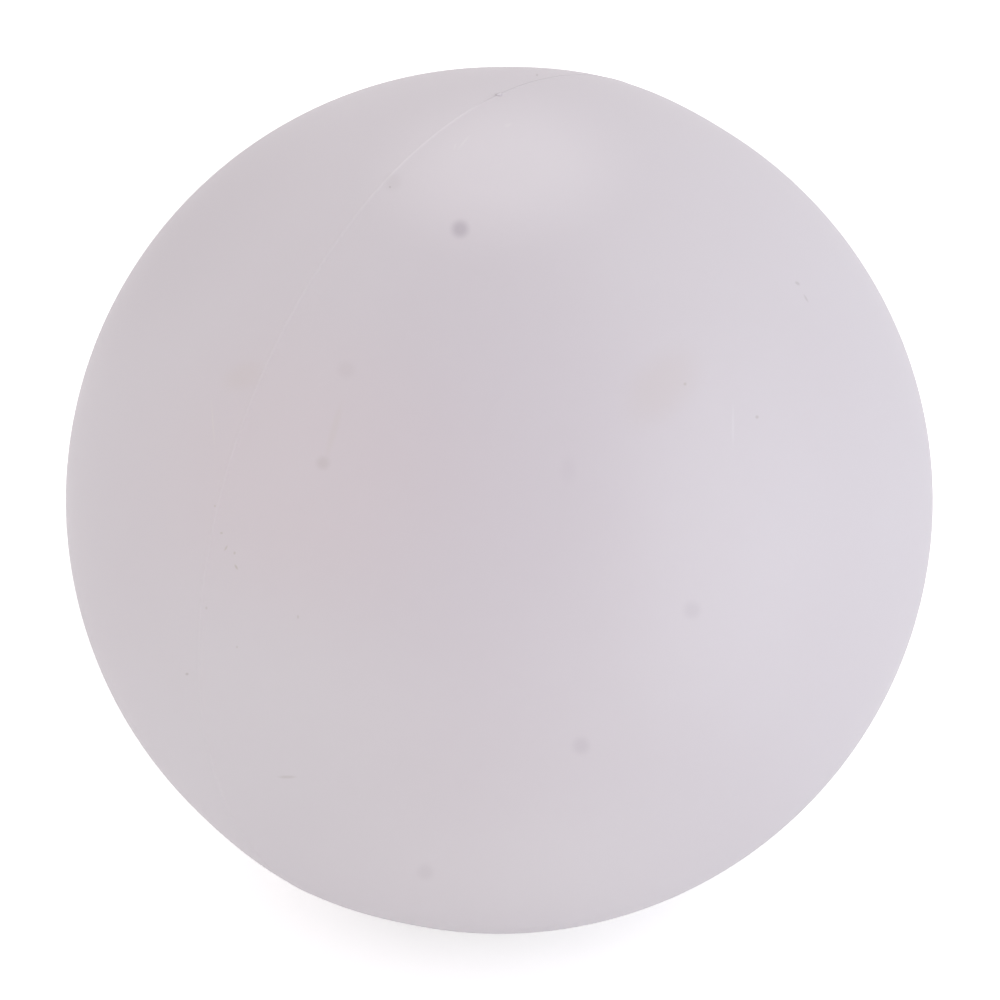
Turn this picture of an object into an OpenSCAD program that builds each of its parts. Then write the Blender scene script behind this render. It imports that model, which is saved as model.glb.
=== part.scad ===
// Floating pool light: a translucent moulded ball that screws onto a flat solar base module.
// The module charges through its underside and shines up into the ball through a frosted dome.

/* [Ball] */
// Outer radius of the ball
globe_r = 175; // [150:1:210]
// Wall of the ball
globe_wall = 2.2; // [1.8:0.1:3.5]
// Width of the ball's flat rim outside its neck
rim_step = 2.8; // [1.8:0.1:6.8]
// Height of the neck that turns up into the ball
neck_h = 15; // [14:0.5:22]
// Rise of the moulding seam above the ball
seam_rise = 1.2; // [0.6:0.1:2]
// Angle over which the seam fades on each side
seam_spread = 14; // [10:1:18]
// Turn of the seam about the vertical
seam_turn = -38.4; // [-90:0.1:90]
// Rise of the thin flash line on the seam
flash_rise = 0.3; // [0.2:0.05:0.6]
// Width of the flash line at its root
flash_w = 1.8; // [1:0.1:3]
// Radius of the moulding nub beside the top
nub_r = 1.3; // [0.8:0.1:2]
// Height of the nub
nub_h = 0.5; // [0.3:0.1:1]
// Distance of the nub from the top along the seam
nub_offset = 4; // [3:0.5:10]

/* [Thread] */
// Climb of the ball in one full turn
thread_lead = 40; // [36:1:44]
// Arc that each thread ridge covers
thread_arc = 60; // [40:5:70]
// Depth of a ridge
thread_depth = 2.2; // [1.8:0.1:2.4]
// Height of a ridge at its root
thread_root_h = 3.2; // [2.6:0.1:3.4]
// Height of a ridge at its crest
thread_crest_h = 1.8; // [1.2:0.1:2]
// Gap between facing ridge flanks
thread_flank_gap = 0.35; // [0.25:0.05:0.6]
// Gap between a ridge's crest and the wall that it faces
thread_crest_gap = 0.6; // [0.45:0.05:0.8]

/* [Plug and flange] */
// Least gap between the cell's cradle and the plug's inner wall
cradle_gap = 1; // [0.6:0.1:2.5]
// Wall of the plug
plug_wall = 3; // [2.5:0.1:3.2]
// Thickness of the plug's top wall
plug_top_t = 2.4; // [2:0.1:4]
// Reach of the flange outside the plug
flange_step = 11.5; // [9.5:0.1:13.5]
// Height of the flange
flange_h = 5.5; // [5:0.1:8]
// Number of grip scallops round the flange
scallop_count = 16; // [8:1:20]
// Depth of a grip scallop
scallop_depth = 1.4; // [0.8:0.1:1.8]
// Width of the flange's bevelled edges
flange_edge = 0.7; // [0.3:0.1:1.2]
// Thickness of the slip washer
washer_t = 1.2; // [0.8:0.1:2]
// Thickness of the collar's flange
collar_flange_t = 1.5; // [1.2:0.1:2.5]
// Wall of the collar
collar_wall = 3.7; // [3:0.1:4.2]
// Cord diameter of the plug's O-ring
o_ring_d = 3; // [2.6:0.1:3.2]

/* [Underside] */
// Height of the rubber feet
foot_h = 2; // [1.5:0.1:4]
// Radius of a foot
foot_r = 4; // [3:0.1:4.6]
// Thickness of the bottom cover
cover_t = 2.8; // [2.6:0.1:3.4]
// Thickness of the cover's seal
cover_seal_t = 0.7; // [0.5:0.1:1]
// Distance of the cover's screws from the plug's outer wall
cover_screw_inset = 5.9; // [5.7:0.1:6.3]
// Distance of the panel window from the plug's outer wall
window_margin = 17.2; // [17.1:0.1:19.5]
// Thickness of the panel window
window_t = 1.3; // [1:0.1:1.4]
// Number of solar cell strips
strip_count = 7; // [4:1:12]
// Gap between two strips
strip_gap = 0.6; // [0.3:0.1:1]

/* [Power button] */
// Distance of the button's middle from the plug's outer wall
button_inset_y = 10; // [9.7:0.1:10.3]
// Radius of the button
button_r = 4.5; // [3.5:0.1:4.6]
// Travel of the button
button_travel = 1.2; // [0.8:0.1:1.3]

/* [Tether bail] */
// Radius of the bail's wire
bail_wire_r = 1.25; // [1:0.05:1.4]
// Radius of the bail's bow
bail_bow_r = 6; // [5:0.1:6.2]
// Distance of the bail's hinge from the plug's outer wall
bail_inset_y = 14.5; // [14.3:0.1:14.6]

/* [Power cell] */
// Diameter of the cell
cell_d = 18.4; // [18:0.1:18.6]
// Length of the cell
cell_l = 65; // [60:0.5:66]
// Distance of the cell's axis from the middle
cell_y = 11; // [10.8:0.1:11.4]

/* [Light] */
// Distance between the dome's foot and the LED board's edge
led_board_margin = 6; // [5:0.5:8]
// Number of LEDs in the ring
led_count = 8; // [4:1:12]
// Distance of the LEDs from the LED board's edge
led_ring_inset = 12; // [11:0.5:18]
// Width of the dome's flange
dome_margin = 7.5; // [7.1:0.1:8.5]
// Height of the dome above its flange
dome_h = 24; // [20:0.5:32]
// Wall of the dome
dome_wall = 1.8; // [1.2:0.1:2.4]

/* [Hidden] */
$fn = 96;
// Overshoot of a cut past the face that it opens
cut = 1;
// Sink of a ridge or rib into the wall that carries it
weld = 0.3;
// Clearance of a piece that drops into its recess
fit_gap = 0.3;
// Clearance of a screw through its hole, and of a shaft in its bore
hole_gap = 0.2;
pilot_gap = 0.05;
running_gap = 0.08;

// Heights, from the floor up
flange_z = foot_h;
cover_inner_z = flange_z + cover_t;
ledge_z = cover_inner_z + cover_seal_t;
washer_z = flange_z + flange_h;
collar_z = washer_z + washer_t;
rim_z = collar_z + collar_flange_t;

// Power cell and its cradle
cell_gap = 0.25;
cell_edge = 0.8;
cell_cap_r = 3;
cell_cap_h = 1;
holder_wall = 1.2;
holder_plate_t = 1.25;
holder_end_wall = 1.6;
holder_open_drop = 2.5;
pad_t = 0.8;
pad_l = 56;
pad_w = 14;
contact_t = 0.5;
contact_w = 9;
contact_half_h = 5;
contact_tip_h = 0.6;
contact_bend_h = 0.4;
contact_gap = 0.05;
spring_reach = 3.2;
cell_floor_gap = 4.3;
cell_z = cover_inner_z + cell_floor_gap + cell_d / 2;
holder_top_z = cell_z + cell_d / 2 + cell_gap + holder_plate_t;
ceiling_z = holder_top_z + pad_t;
plug_top_z = ceiling_z + plug_top_t;
holder_half_w = cell_d / 2 + cell_gap + holder_wall;
holder_floor_z = cell_z - holder_open_drop;
holder_near_y = holder_half_w - cell_y;
plus_x = cell_l / 2 + contact_gap;
minus_x = -cell_l / 2 - spring_reach;
plus_end = plus_x + contact_t + contact_gap;
minus_end = minus_x - contact_t - contact_gap;
cradle_x = -(plus_x + minus_x) / 2;
holder_half_l = (plus_end - minus_end) / 2 + holder_end_wall;

// Plug, collar and neck: the plug's cavity clears the cradle's corners, up to the next half millimetre
cavity_r = ceil(2 * (norm([holder_half_l, cell_y + holder_half_w]) + cradle_gap)) / 2;
plug_r = cavity_r + plug_wall;
collar_bore_r = plug_r + thread_depth + thread_crest_gap;
collar_r = collar_bore_r + collar_wall;
neck_r = collar_r + globe_wall;
rim_r = neck_r + rim_step;
flange_r = plug_r + flange_step;
cover_recess_step = 0.7;
cover_recess_r = plug_r + cover_recess_step;
cover_r = cover_recess_r - fit_gap;
globe_z = rim_z + sqrt(globe_r * globe_r - rim_r * rim_r);
small_edge = 0.4;

// Thread
thread_starts = 4;
thread_steps = 12;
ridge_taper = (thread_root_h - thread_crest_h) / thread_depth;
flank_sum = thread_root_h - ridge_taper * (thread_depth + thread_crest_gap) / 2;
ridge_offset = flank_sum + thread_flank_gap;
groove_gap = 0.1;
o_ring_r = collar_bore_r - groove_gap - o_ring_d / 2;
o_ring_rise = 0.7;
o_ring_z = collar_z + o_ring_rise + o_ring_d / 2;
groove_r = o_ring_r - o_ring_d / 2 - running_gap;
ridge_rise = 0.6;
collar_ridge_z = o_ring_z + o_ring_d / 2 + ridge_rise + thread_root_h / 2;
plug_ridge_z = collar_ridge_z + ridge_offset;

// Screws: radius of the shank, radius of the head and height of the head
screw_r = 1.25;
screw_head_r = 2.5;
screw_head_h = 1.6;
small_screw_r = 1;
small_head_r = 1.9;
small_head_h = 1.4;
slot_w = 0.7;
boss_wall = 2.1;
boss_r = screw_r + boss_wall;
cover_screw_count = 6;
cover_screw_ring = plug_r - cover_screw_inset;
cover_screw_l = 9;
led_screw_l = 6;
screw_sink = 0.1;
counterbore_h = screw_head_h + screw_sink;
screw_tip_gap = 1;

// Underside
foot_count = 4;
foot_edge = 0.5;
grip_r = 5;
window_r = plug_r - window_margin;
foot_ring_r = (cover_recess_r + flange_r - scallop_depth) / 2;
window_inset = 0.2;
window_recess_r = window_r + hole_gap;
panel_seal_t = 0.3;
window_z = flange_z + window_inset;
window_ledge_z = window_z + window_t + panel_seal_t;
window_ledge_w = 2.6;
window_hole_r = window_recess_r - window_ledge_w;
panel_board_t = 1.2;
panel_board_inset = 0.8;
panel_board_r = window_r - panel_board_inset;
cell_strip_t = 0.3;
strip_inset = 0.6;
strip_r = window_hole_r - strip_inset;

// Button and switch
button_hole_gap = 0.3;
button_y = plug_r - button_inset_y;
button_seal_w = 1.7;
button_seal_r = button_r + button_seal_w;
button_seal_t = 1.2;
button_lip_w = 1.1;
button_lip_r = button_r + button_lip_w;
button_lip_h = 1;
button_inset = 0.5;
button_rest_gap = 0.2;
button_top_z = cover_inner_z + button_rest_gap + button_lip_h;
switch_w = 6;
switch_h = 3.5;
switch_over = 0.3;
switch_z = button_top_z + button_travel + switch_over;
switch_lead_w = 1;
switch_lead_t = 0.3;
plunger_r = 1.6;
plunger_l = 3;
plunger_end_gap = 0.2;

// Control board
board_t = 1.6;
board_w = 30;
board_gap = 10.35;
board_back = 0.5;
board_y0 = holder_near_y + board_gap;
board_y1 = button_y + switch_w / 2 + board_back;
board_z = switch_z + switch_h;
board_top_z = board_z + board_t;
post_r = 2.4;
post_x = 12;
post_front = 3.2;
post_back = 10;
post_ys = [board_y0 + post_front, board_y1 - post_back];
board_screw_l = 7;
board_grid = 0.5;

// Light
spacer_h = 3;
spacer_r = 2.8;
led_board_t = 1.6;
led_board_z = plug_top_z + spacer_h;
led_top_z = led_board_z + led_board_t;
dome_base_r = cavity_r - dome_margin;
led_board_r = dome_base_r - led_board_margin;
led_ring_r = led_board_r - led_ring_inset;
led_boss_inset = 5;
led_boss_ring = led_board_r - led_boss_inset;
led_boss_angles = [30, 150, 270];
led_boss_r = 2.4;
led_boss_h = 5;
led_w = 5;
led_h = 1.6;
led_lens_r = 1.9;
led_lens_h = 0.3;
dome_seal_t = 0.8;
dome_flange_t = 2;
dome_z = plug_top_z + dome_seal_t;
dome_base_z = dome_z + dome_flange_t;
dome_r = (dome_base_r * dome_base_r + dome_h * dome_h) / (2 * dome_h);
dome_centre_z = dome_base_z + dome_h - dome_r;
dome_flange_r = cavity_r;
dome_screw_inset = 4;
dome_screw_ring = cavity_r - dome_screw_inset;
dome_screw_count = 4;
dome_screw_l = 10;
dome_boss_h = 9;
grommet_front = 2.5;
grommet_y = board_y0 + grommet_front;
grommet_r = 4;
grommet_bore_r = 2.4;
grommet_lip_w = 1;
grommet_lip_t = 0.8;

// Bail and its pocket
bail_rise = 2.6;
bail_z = flange_z + bail_rise;
bail_y = plug_r - bail_inset_y;
bail_elbow_r = 2;
bail_leg_y = bail_y + bail_elbow_r;
bail_trunnion_l = 2.4;
bail_half_w = bail_bow_r + bail_elbow_r;
pocket_gap = 0.4;
pocket_half_w = bail_half_w + pocket_gap;
pocket_near_gap = 0.35;
pocket_far_gap = 0.55;
pocket_roof_gap = 1.75;
pocket_near_y = bail_y - bail_wire_r - pocket_near_gap;
pocket_far_y = bail_leg_y + bail_bow_r + bail_wire_r + pocket_far_gap;
pocket_wall = 1.4;
pocket_roof_z = bail_z + bail_wire_r + pocket_roof_gap;
pocket_side_wall = bail_trunnion_l + pocket_wall;
shell_gap = 0.3;

// Wires: radius, sides, places and how far they run straight
wire_r = 0.65;
wire_sides = 8;
wire_passes = 3;
wire_out = 3;
wire_sag = 0.5;
plug_block_h = 5;
plug_block_mid_z = board_top_z + plug_block_h / 2;
plug_block_top_z = board_top_z + plug_block_h;
plug_side_x = 14.5;
plug_side_y = board_y0 + 10.5;
lead_pitch = 3;
panel_lead_x = 18;
cell_lead_inset = 8.5;
cell_lead_x = cell_l / 2 - cell_lead_inset;
cell_lead_turn_y = 8;
led_lead_y = board_y0 + 3.5;
led_lead_pitch = 2.4;
led_lead_close = 1.4;

// The seam's ridge is a second, smaller circle, set off so that it meets the ball at the fade angle
seam_top_r = globe_r + seam_rise;
ridge_shift = (seam_top_r * seam_top_r - globe_r * globe_r) / (2 * (seam_top_r - globe_r * cos(seam_spread)));
flash_sink = 0.5;

// A disc with bevelled edges: the widths are those of the bottom and the top bevel
module disc(r, h, low, high) {
    rotate_extrude()
        polygon([[0, 0], [r - low, 0], [r, low], [r, h - high], [r - high, h], [0, h]]);
}

// A ring between two radii
module ring(inner, outer, h) {
    difference() {
        cylinder(r = outer, h = h);
        translate([0, 0, -cut]) cylinder(r = inner, h = h + 2 * cut);
    }
}

// Copies its child at equal steps round the axis
module round_array(count, radius, start = 0) {
    for (i = [0 : count - 1])
        rotate([0, 0, start + i * 360 / count]) translate([radius, 0, 0]) children();
}

// One thread ridge: a trapezium that climbs with the lead, from the root radius to the crest radius
module ridge(root_r, crest_r, middle_z) {
    sink = (crest_r > root_r) ? -weld : weld;
    section = [
        [root_r + sink, -thread_root_h / 2],
        [crest_r, -thread_crest_h / 2],
        [crest_r, thread_crest_h / 2],
        [root_r + sink, thread_root_h / 2]
    ];
    points = [
        for (i = [0 : thread_steps])
            for (p = section)
                let (a = i * thread_arc / thread_steps)
                    [p[0] * cos(a), p[0] * sin(a), middle_z + p[1] + thread_lead * a / 360]
    ];
    sides = [
        for (i = [0 : thread_steps - 1])
            for (j = [0 : 3])
                let (a = 4 * i + j, b = 4 * i + (j + 1) % 4)
                    for (f = [[a, b, b + 4], [a, b + 4, a + 4]]) f
    ];
    last = 4 * thread_steps;
    ends = [[0, 2, 1], [0, 3, 2], [last, last + 1, last + 2], [last, last + 2, last + 3]];
    outward = crest_r > root_r;
    faces = concat(sides, ends);
    polyhedron(points, outward ? faces : [for (f = faces) [f[2], f[1], f[0]]]);
}

// All the ridges of one side of the thread
module thread(root_r, crest_r, middle_z) {
    for (i = [0 : thread_starts - 1])
        rotate([0, 0, i * 360 / thread_starts]) ridge(root_r, crest_r, middle_z);
}

// A cross-head screw that points up, with its head's face at the given height
module screw(shank_r, head_r, head_h, length) {
    difference() {
        union() {
            cylinder(r = head_r, h = head_h, $fn = 48);
            translate([0, 0, head_h]) cylinder(r = shank_r, h = length, $fn = 32);
        }
        for (turn = [0, 90])
            rotate([0, 0, turn])
                translate([-head_r * 0.6, -slot_w / 2, -cut])
                    cube([head_r * 1.2, slot_w, cut + head_h * 0.55]);
    }
}

// A wire along a smooth curve through the given points
function unit(v) = v / norm(v);
function bend(p, i, t) =
    let (
        a = p[max(i - 1, 0)],
        b = p[i],
        c = p[i + 1],
        d = p[min(i + 2, len(p) - 1)]
    )
    (2 * b + (c - a) * t + (2 * a - 5 * b + 4 * c - d) * t * t + (3 * b - a - 3 * c + d) * t * t * t) / 2;
function wire_path(p, passes) = concat(
    [for (i = [0 : len(p) - 2]) for (k = [0 : passes - 1]) bend(p, i, k / passes)],
    [p[len(p) - 1]]
);
module wire(route, side_way) {
    path = wire_path(route, wire_passes);
    last = len(path) - 1;
    points = [
        for (i = [0 : last])
            let (
                along = (i == 0) ? unit(route[1] - route[0])
                    : (i == last) ? unit(route[len(route) - 1] - route[len(route) - 2])
                    : unit(path[i + 1] - path[i - 1]),
                u = unit(cross(along, side_way)),
                v = cross(along, u)
            )
            for (k = [0 : wire_sides - 1])
                let (a = k * 360 / wire_sides)
                    path[i] + wire_r * (u * cos(a) + v * sin(a))
    ];
    walls = [
        for (i = [0 : last - 1])
            for (k = [0 : wire_sides - 1])
                let (
                    a = i * wire_sides + k,
                    b = i * wire_sides + (k + 1) % wire_sides
                )
                for (f = [[a, b + wire_sides, b], [a, a + wire_sides, b + wire_sides]]) f
    ];
    caps = concat(
        [for (k = [1 : wire_sides - 2]) [0, k, k + 1]],
        [for (k = [1 : wire_sides - 2]) [last * wire_sides, last * wire_sides + k + 1, last * wire_sides + k]]
    );
    polyhedron(points, concat(walls, caps));
}

// Ball

module globe_section() {
    difference() {
        union() {
            circle(r = globe_r);
            translate([ridge_shift, 0]) circle(r = seam_top_r - ridge_shift);
            polygon([
                [seam_top_r - flash_sink, -flash_w / 2],
                [seam_top_r + flash_rise, -flash_w / 6],
                [seam_top_r + flash_rise, flash_w / 6],
                [seam_top_r - flash_sink, flash_w / 2]
            ]);
        }
        circle(r = globe_r - globe_wall);
        translate([-2 * globe_r, -2 * globe_r]) square([2 * globe_r, 4 * globe_r]);
    }
}

module nub() {
    rotate([0, 0, seam_turn + 90])
        rotate([0, nub_offset / globe_r * 180 / PI, 0])
            translate([0, 0, globe_r - globe_wall / 2])
                cylinder(r = nub_r, h = globe_wall / 2 + seam_rise + nub_h, $fn = 32);
}

module globe_shell() {
    color("ghostwhite")
        union() {
            difference() {
                translate([0, 0, globe_z]) {
                    rotate([0, 0, seam_turn]) rotate([0, 90, 0])
                        rotate_extrude($fn = 180) globe_section($fn = 180);
                    nub();
                }
                translate([0, 0, rim_z - globe_r]) cylinder(r = globe_r, h = globe_r);
                translate([0, 0, rim_z - cut]) cylinder(r = (collar_r + neck_r) / 2, h = neck_h + 2 * cut);
            }
            translate([0, 0, rim_z]) ring(collar_r, neck_r, neck_h);
        }
}

module neck_collar() {
    color("gainsboro")
        union() {
            translate([0, 0, collar_z]) ring(collar_bore_r, rim_r - fit_gap, collar_flange_t);
            translate([0, 0, collar_z]) ring(collar_bore_r, collar_r, collar_flange_t + neck_h);
            thread(collar_bore_r, collar_bore_r - thread_depth, collar_ridge_z);
        }
}

module neck_gasket() {
    color("dimgray") translate([0, 0, washer_z])
        ring(collar_bore_r, flange_r - scallop_depth - fit_gap, washer_t);
}

// Base module

module base_housing() {
    color("whitesmoke")
        difference() {
            union() {
                difference() {
                    union() {
                        translate([0, 0, flange_z]) disc(flange_r, flange_h, flange_edge, flange_edge);
                        translate([0, 0, flange_z + small_edge])
                            disc(plug_r, plug_top_z - flange_z - small_edge, 0, flange_edge);
                    }
                    translate([0, 0, flange_z - cut])
                        cylinder(r = cover_recess_r, h = cut + ledge_z - flange_z);
                    translate([0, 0, ledge_z - cut]) cylinder(r = cavity_r, h = ceiling_z - ledge_z + cut);
                }
                thread(plug_r, plug_r + thread_depth, plug_ridge_z);
                round_array(cover_screw_count, cover_screw_ring)
                    translate([0, 0, cover_inner_z])
                        cylinder(r = boss_r, h = ceiling_z - cover_inner_z + weld);
                round_array(dome_screw_count, dome_screw_ring, 45)
                    translate([0, 0, ceiling_z - dome_boss_h]) cylinder(r = boss_r, h = dome_boss_h + weld);
                for (a = led_boss_angles)
                    rotate([0, 0, a])
                        translate([led_boss_ring, 0, ceiling_z - led_boss_h])
                            cylinder(r = led_boss_r, h = led_boss_h + weld, $fn = 48);
                for (x = [-post_x, post_x], y = post_ys)
                    translate([x, y, board_top_z])
                        cylinder(r = post_r, h = ceiling_z - board_top_z + weld, $fn = 48);
            }
            round_array(scallop_count, flange_r + grip_r - scallop_depth, 180 / scallop_count)
                translate([0, 0, flange_z - cut]) cylinder(r = grip_r, h = flange_h + 2 * cut);
            translate([0, 0, o_ring_z - o_ring_d / 2 - groove_gap])
                ring(groove_r, flange_r, o_ring_d + 2 * groove_gap);
            round_array(cover_screw_count, cover_screw_ring)
                translate([0, 0, cover_inner_z - cut])
                    cylinder(r = screw_r + pilot_gap, h = cut + cover_screw_l + screw_tip_gap, $fn = 32);
            round_array(dome_screw_count, dome_screw_ring, 45)
                translate([0, 0, plug_top_z - dome_screw_l])
                    cylinder(r = screw_r + pilot_gap, h = dome_screw_l + cut, $fn = 32);
            for (a = led_boss_angles)
                rotate([0, 0, a])
                    translate([led_boss_ring, 0, plug_top_z - led_screw_l])
                        cylinder(r = small_screw_r + pilot_gap, h = led_screw_l + cut, $fn = 32);
            for (x = [-post_x, post_x], y = post_ys)
                translate([x, y, board_top_z - cut])
                    cylinder(r = small_screw_r + pilot_gap, h = cut + board_screw_l, $fn = 32);
            translate([0, grommet_y, ceiling_z - cut])
                cylinder(r = grommet_r, h = plug_top_t + 2 * cut, $fn = 48);
        }
}

module plug_o_ring() {
    color("darkslategray")
        translate([0, 0, o_ring_z]) rotate_extrude() translate([o_ring_r, 0]) circle(d = o_ring_d, $fn = 48);
}

module bail_pocket_block() {
    intersection() {
        translate([-pocket_half_w - pocket_side_wall, -pocket_far_y - pocket_wall, flange_z])
            cube([
                2 * (pocket_half_w + pocket_side_wall),
                pocket_far_y - pocket_near_y + 2 * pocket_wall,
                pocket_roof_z + pocket_wall - flange_z
            ]);
        cylinder(r = cavity_r - shell_gap, h = plug_top_z);
    }
}

module bail_pocket() {
    socket_end_x = bail_half_w + bail_trunnion_l + 2 * pilot_gap;
    intersection() {
        translate([-pocket_half_w, -pocket_far_y, flange_z - cut])
            cube([2 * pocket_half_w, pocket_far_y - pocket_near_y, pocket_roof_z - flange_z + cut]);
        translate([0, 0, flange_z - 2 * cut])
            cylinder(r = cavity_r - shell_gap - pocket_wall, h = plug_top_z);
    }
    translate([-socket_end_x, -bail_y, bail_z])
        rotate([0, 90, 0]) cylinder(r = bail_wire_r + running_gap, h = 2 * socket_end_x, $fn = 48);
}

module bottom_cover() {
    color("whitesmoke")
        difference() {
            union() {
                translate([0, 0, flange_z]) disc(cover_r, cover_t, small_edge, 0);
                bail_pocket_block();
            }
            translate([0, 0, flange_z - cut])
                cylinder(r = window_recess_r, h = window_ledge_z - flange_z + cut);
            translate([0, 0, flange_z - cut]) cylinder(r = window_hole_r, h = cover_t + 2 * cut);
            round_array(cover_screw_count, cover_screw_ring) {
                translate([0, 0, flange_z - cut])
                    cylinder(r = screw_r + hole_gap, h = cover_t + 2 * cut, $fn = 32);
                translate([0, 0, flange_z - cut])
                    cylinder(r = screw_head_r + hole_gap, h = counterbore_h + cut, $fn = 48);
            }
            translate([0, button_y, flange_z - cut])
                cylinder(r = button_r + button_hole_gap, h = cover_t + 2 * cut, $fn = 64);
            translate([0, button_y, cover_inner_z - button_seal_t])
                cylinder(r = button_seal_r, h = button_seal_t + cut, $fn = 64);
            bail_pocket();
        }
}

module cover_seal() {
    color("dimgray")
        translate([0, 0, cover_inner_z])
            ring(cover_screw_ring + boss_r + hole_gap, cover_recess_r - hole_gap, cover_seal_t);
}

module cover_screws() {
    color("silver")
        round_array(cover_screw_count, cover_screw_ring)
            translate([0, 0, flange_z + counterbore_h - screw_head_h])
                screw(screw_r, screw_head_r, screw_head_h, cover_screw_l);
}

module rubber_feet() {
    color("dimgray") round_array(foot_count, foot_ring_r, 45) disc(foot_r, foot_h, foot_edge, 0);
}

module panel_window() {
    color("lightcyan", 0.5) translate([0, 0, window_z]) cylinder(r = window_r, h = window_t);
}

module panel_seal() {
    color("dimgray")
        translate([0, 0, window_z + window_t])
            ring(window_hole_r + hole_gap, window_r - hole_gap, panel_seal_t);
}

module solar_cells() {
    pitch = 2 * strip_r / strip_count;
    color("midnightblue")
        for (i = [0 : strip_count - 1])
            intersection() {
                translate([-strip_r + i * pitch + strip_gap / 2, -strip_r, cover_inner_z - cell_strip_t])
                    cube([pitch - strip_gap, 2 * strip_r, cell_strip_t]);
                translate([0, 0, flange_z]) cylinder(r = strip_r, h = cover_t);
            }
}

module panel_board() {
    color("darkgreen") translate([0, 0, cover_inner_z]) cylinder(r = panel_board_r, h = panel_board_t);
}

module power_button() {
    color("lightgray")
        translate([0, button_y, 0]) {
            translate([0, 0, flange_z + button_inset])
                disc(button_r, button_top_z - flange_z - button_inset, small_edge, 0);
            translate([0, 0, button_top_z - button_lip_h])
                cylinder(r = button_lip_r, h = button_lip_h, $fn = 64);
        }
}

module button_seal() {
    color("dimgray")
        translate([0, button_y, cover_inner_z - button_seal_t])
            ring(button_r + running_gap, button_seal_r - pilot_gap, button_seal_t);
}

module switch_plunger() {
    color("black") translate([0, button_y, button_top_z]) cylinder(r = plunger_r, h = plunger_l, $fn = 48);
}

module tact_switch() {
    bore_h = plunger_l + button_travel - (switch_z - button_top_z) + plunger_end_gap;
    color("darkgray")
        difference() {
            union() {
                translate([-switch_w / 2, button_y - switch_w / 2, switch_z])
                    cube([switch_w, switch_w, switch_h]);
                for (y = [-switch_w / 4, switch_w / 4])
                    translate([
                        -switch_w / 2 - switch_lead_w,
                        button_y + y - switch_lead_w / 2,
                        switch_z + switch_h - switch_lead_t
                    ])
                        cube([switch_w + 2 * switch_lead_w, switch_lead_w, switch_lead_t]);
            }
            translate([0, button_y, switch_z - cut])
                cylinder(r = plunger_r + running_gap, h = cut + bore_h, $fn = 48);
        }
}

module control_board() {
    color("darkgreen")
        difference() {
            translate([-board_w / 2, board_y0, board_z]) cube([board_w, board_y1 - board_y0, board_t]);
            for (x = [-post_x, post_x], y = post_ys)
                translate([x, y, board_z - cut])
                    cylinder(r = small_screw_r + hole_gap, h = board_t + 2 * cut, $fn = 32);
        }
}

// Parts on the board, in steps of its grid: each row is a corner's X, its Y from the board's front edge,
// the size along X and Y, and the height
board_part_rows = [
    [-9, 3, 18, 8, 10],
    [-29, 15, 8, 12, 10],
    [21, 15, 8, 12, 10],
    [-8, 18, 16, 12, 3],
    [-13, 35, 12, 12, 6],
    [4, 36, 6, 10, 2],
    [12, 20, 4, 6, 2],
    [12, 29, 4, 6, 2],
    [-16, 20, 3, 5, 2],
    [-16, 28, 3, 5, 2]
];

module board_parts() {
    color("dimgray")
        for (row = board_part_rows * board_grid)
            translate([row[0], board_y0 + row[1], board_top_z]) cube([row[2], row[3], row[4]]);
}

module board_screws() {
    color("silver")
        for (x = [-post_x, post_x], y = post_ys)
            translate([x, y, board_z - small_head_h])
                screw(small_screw_r, small_head_r, small_head_h, board_t + board_screw_l - screw_tip_gap);
}

// Power cell

module battery_cell() {
    color("steelblue")
        translate([cradle_x - cell_l / 2, -cell_y, cell_z])
            rotate([0, 90, 0]) {
                disc(cell_d / 2, cell_l - cell_cap_h, cell_edge, cell_edge);
                cylinder(r = cell_cap_r, h = cell_l, $fn = 48);
            }
}

module battery_holder() {
    bore_l = plus_end - minus_end;
    open_w = cell_d + 2 * cell_gap;
    color("black")
        translate([cradle_x, -cell_y, 0])
            difference() {
                translate([minus_end - holder_end_wall, -holder_half_w, holder_floor_z])
                    cube([2 * holder_half_l, 2 * holder_half_w, holder_top_z - holder_floor_z]);
                translate([minus_end, 0, cell_z]) rotate([0, 90, 0]) cylinder(d = open_w, h = bore_l);
                translate([minus_end, -open_w / 2, holder_floor_z - cut])
                    cube([bore_l, open_w, cut + cell_z - holder_floor_z]);
            }
}

module holder_pad() {
    color("gainsboro") translate([-pad_l / 2, -cell_y - pad_w / 2, holder_top_z]) cube([pad_l, pad_w, pad_t]);
}

// The flat contact at the cell's cap, and the sprung one behind it, bent to a tip that touches the cell
module battery_contacts() {
    touch_x = -cell_l / 2 - contact_gap;
    back_x = minus_x - contact_t;
    color("silver")
        translate([cradle_x, -cell_y, 0]) {
            translate([plus_x, -contact_w / 2, cell_z - contact_half_h])
                cube([contact_t, contact_w, 2 * contact_half_h]);
            translate([0, contact_w / 2, cell_z])
                rotate([90, 0, 0])
                    linear_extrude(contact_w)
                        polygon([
                            [back_x, -contact_half_h],
                            [back_x + contact_t, -contact_half_h],
                            [touch_x, -contact_tip_h],
                            [touch_x, contact_tip_h],
                            [back_x + contact_t, contact_half_h],
                            [back_x, contact_half_h],
                            [touch_x - contact_t, contact_bend_h],
                            [touch_x - contact_t, -contact_bend_h]
                        ]);
        }
}

// Light

module led_board() {
    color("white")
        difference() {
            translate([0, 0, led_board_z]) cylinder(r = led_board_r, h = led_board_t);
            for (a = led_boss_angles)
                rotate([0, 0, a])
                    translate([led_boss_ring, 0, led_board_z - cut])
                        cylinder(r = small_screw_r + hole_gap, h = led_board_t + 2 * cut, $fn = 32);
        }
}

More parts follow.
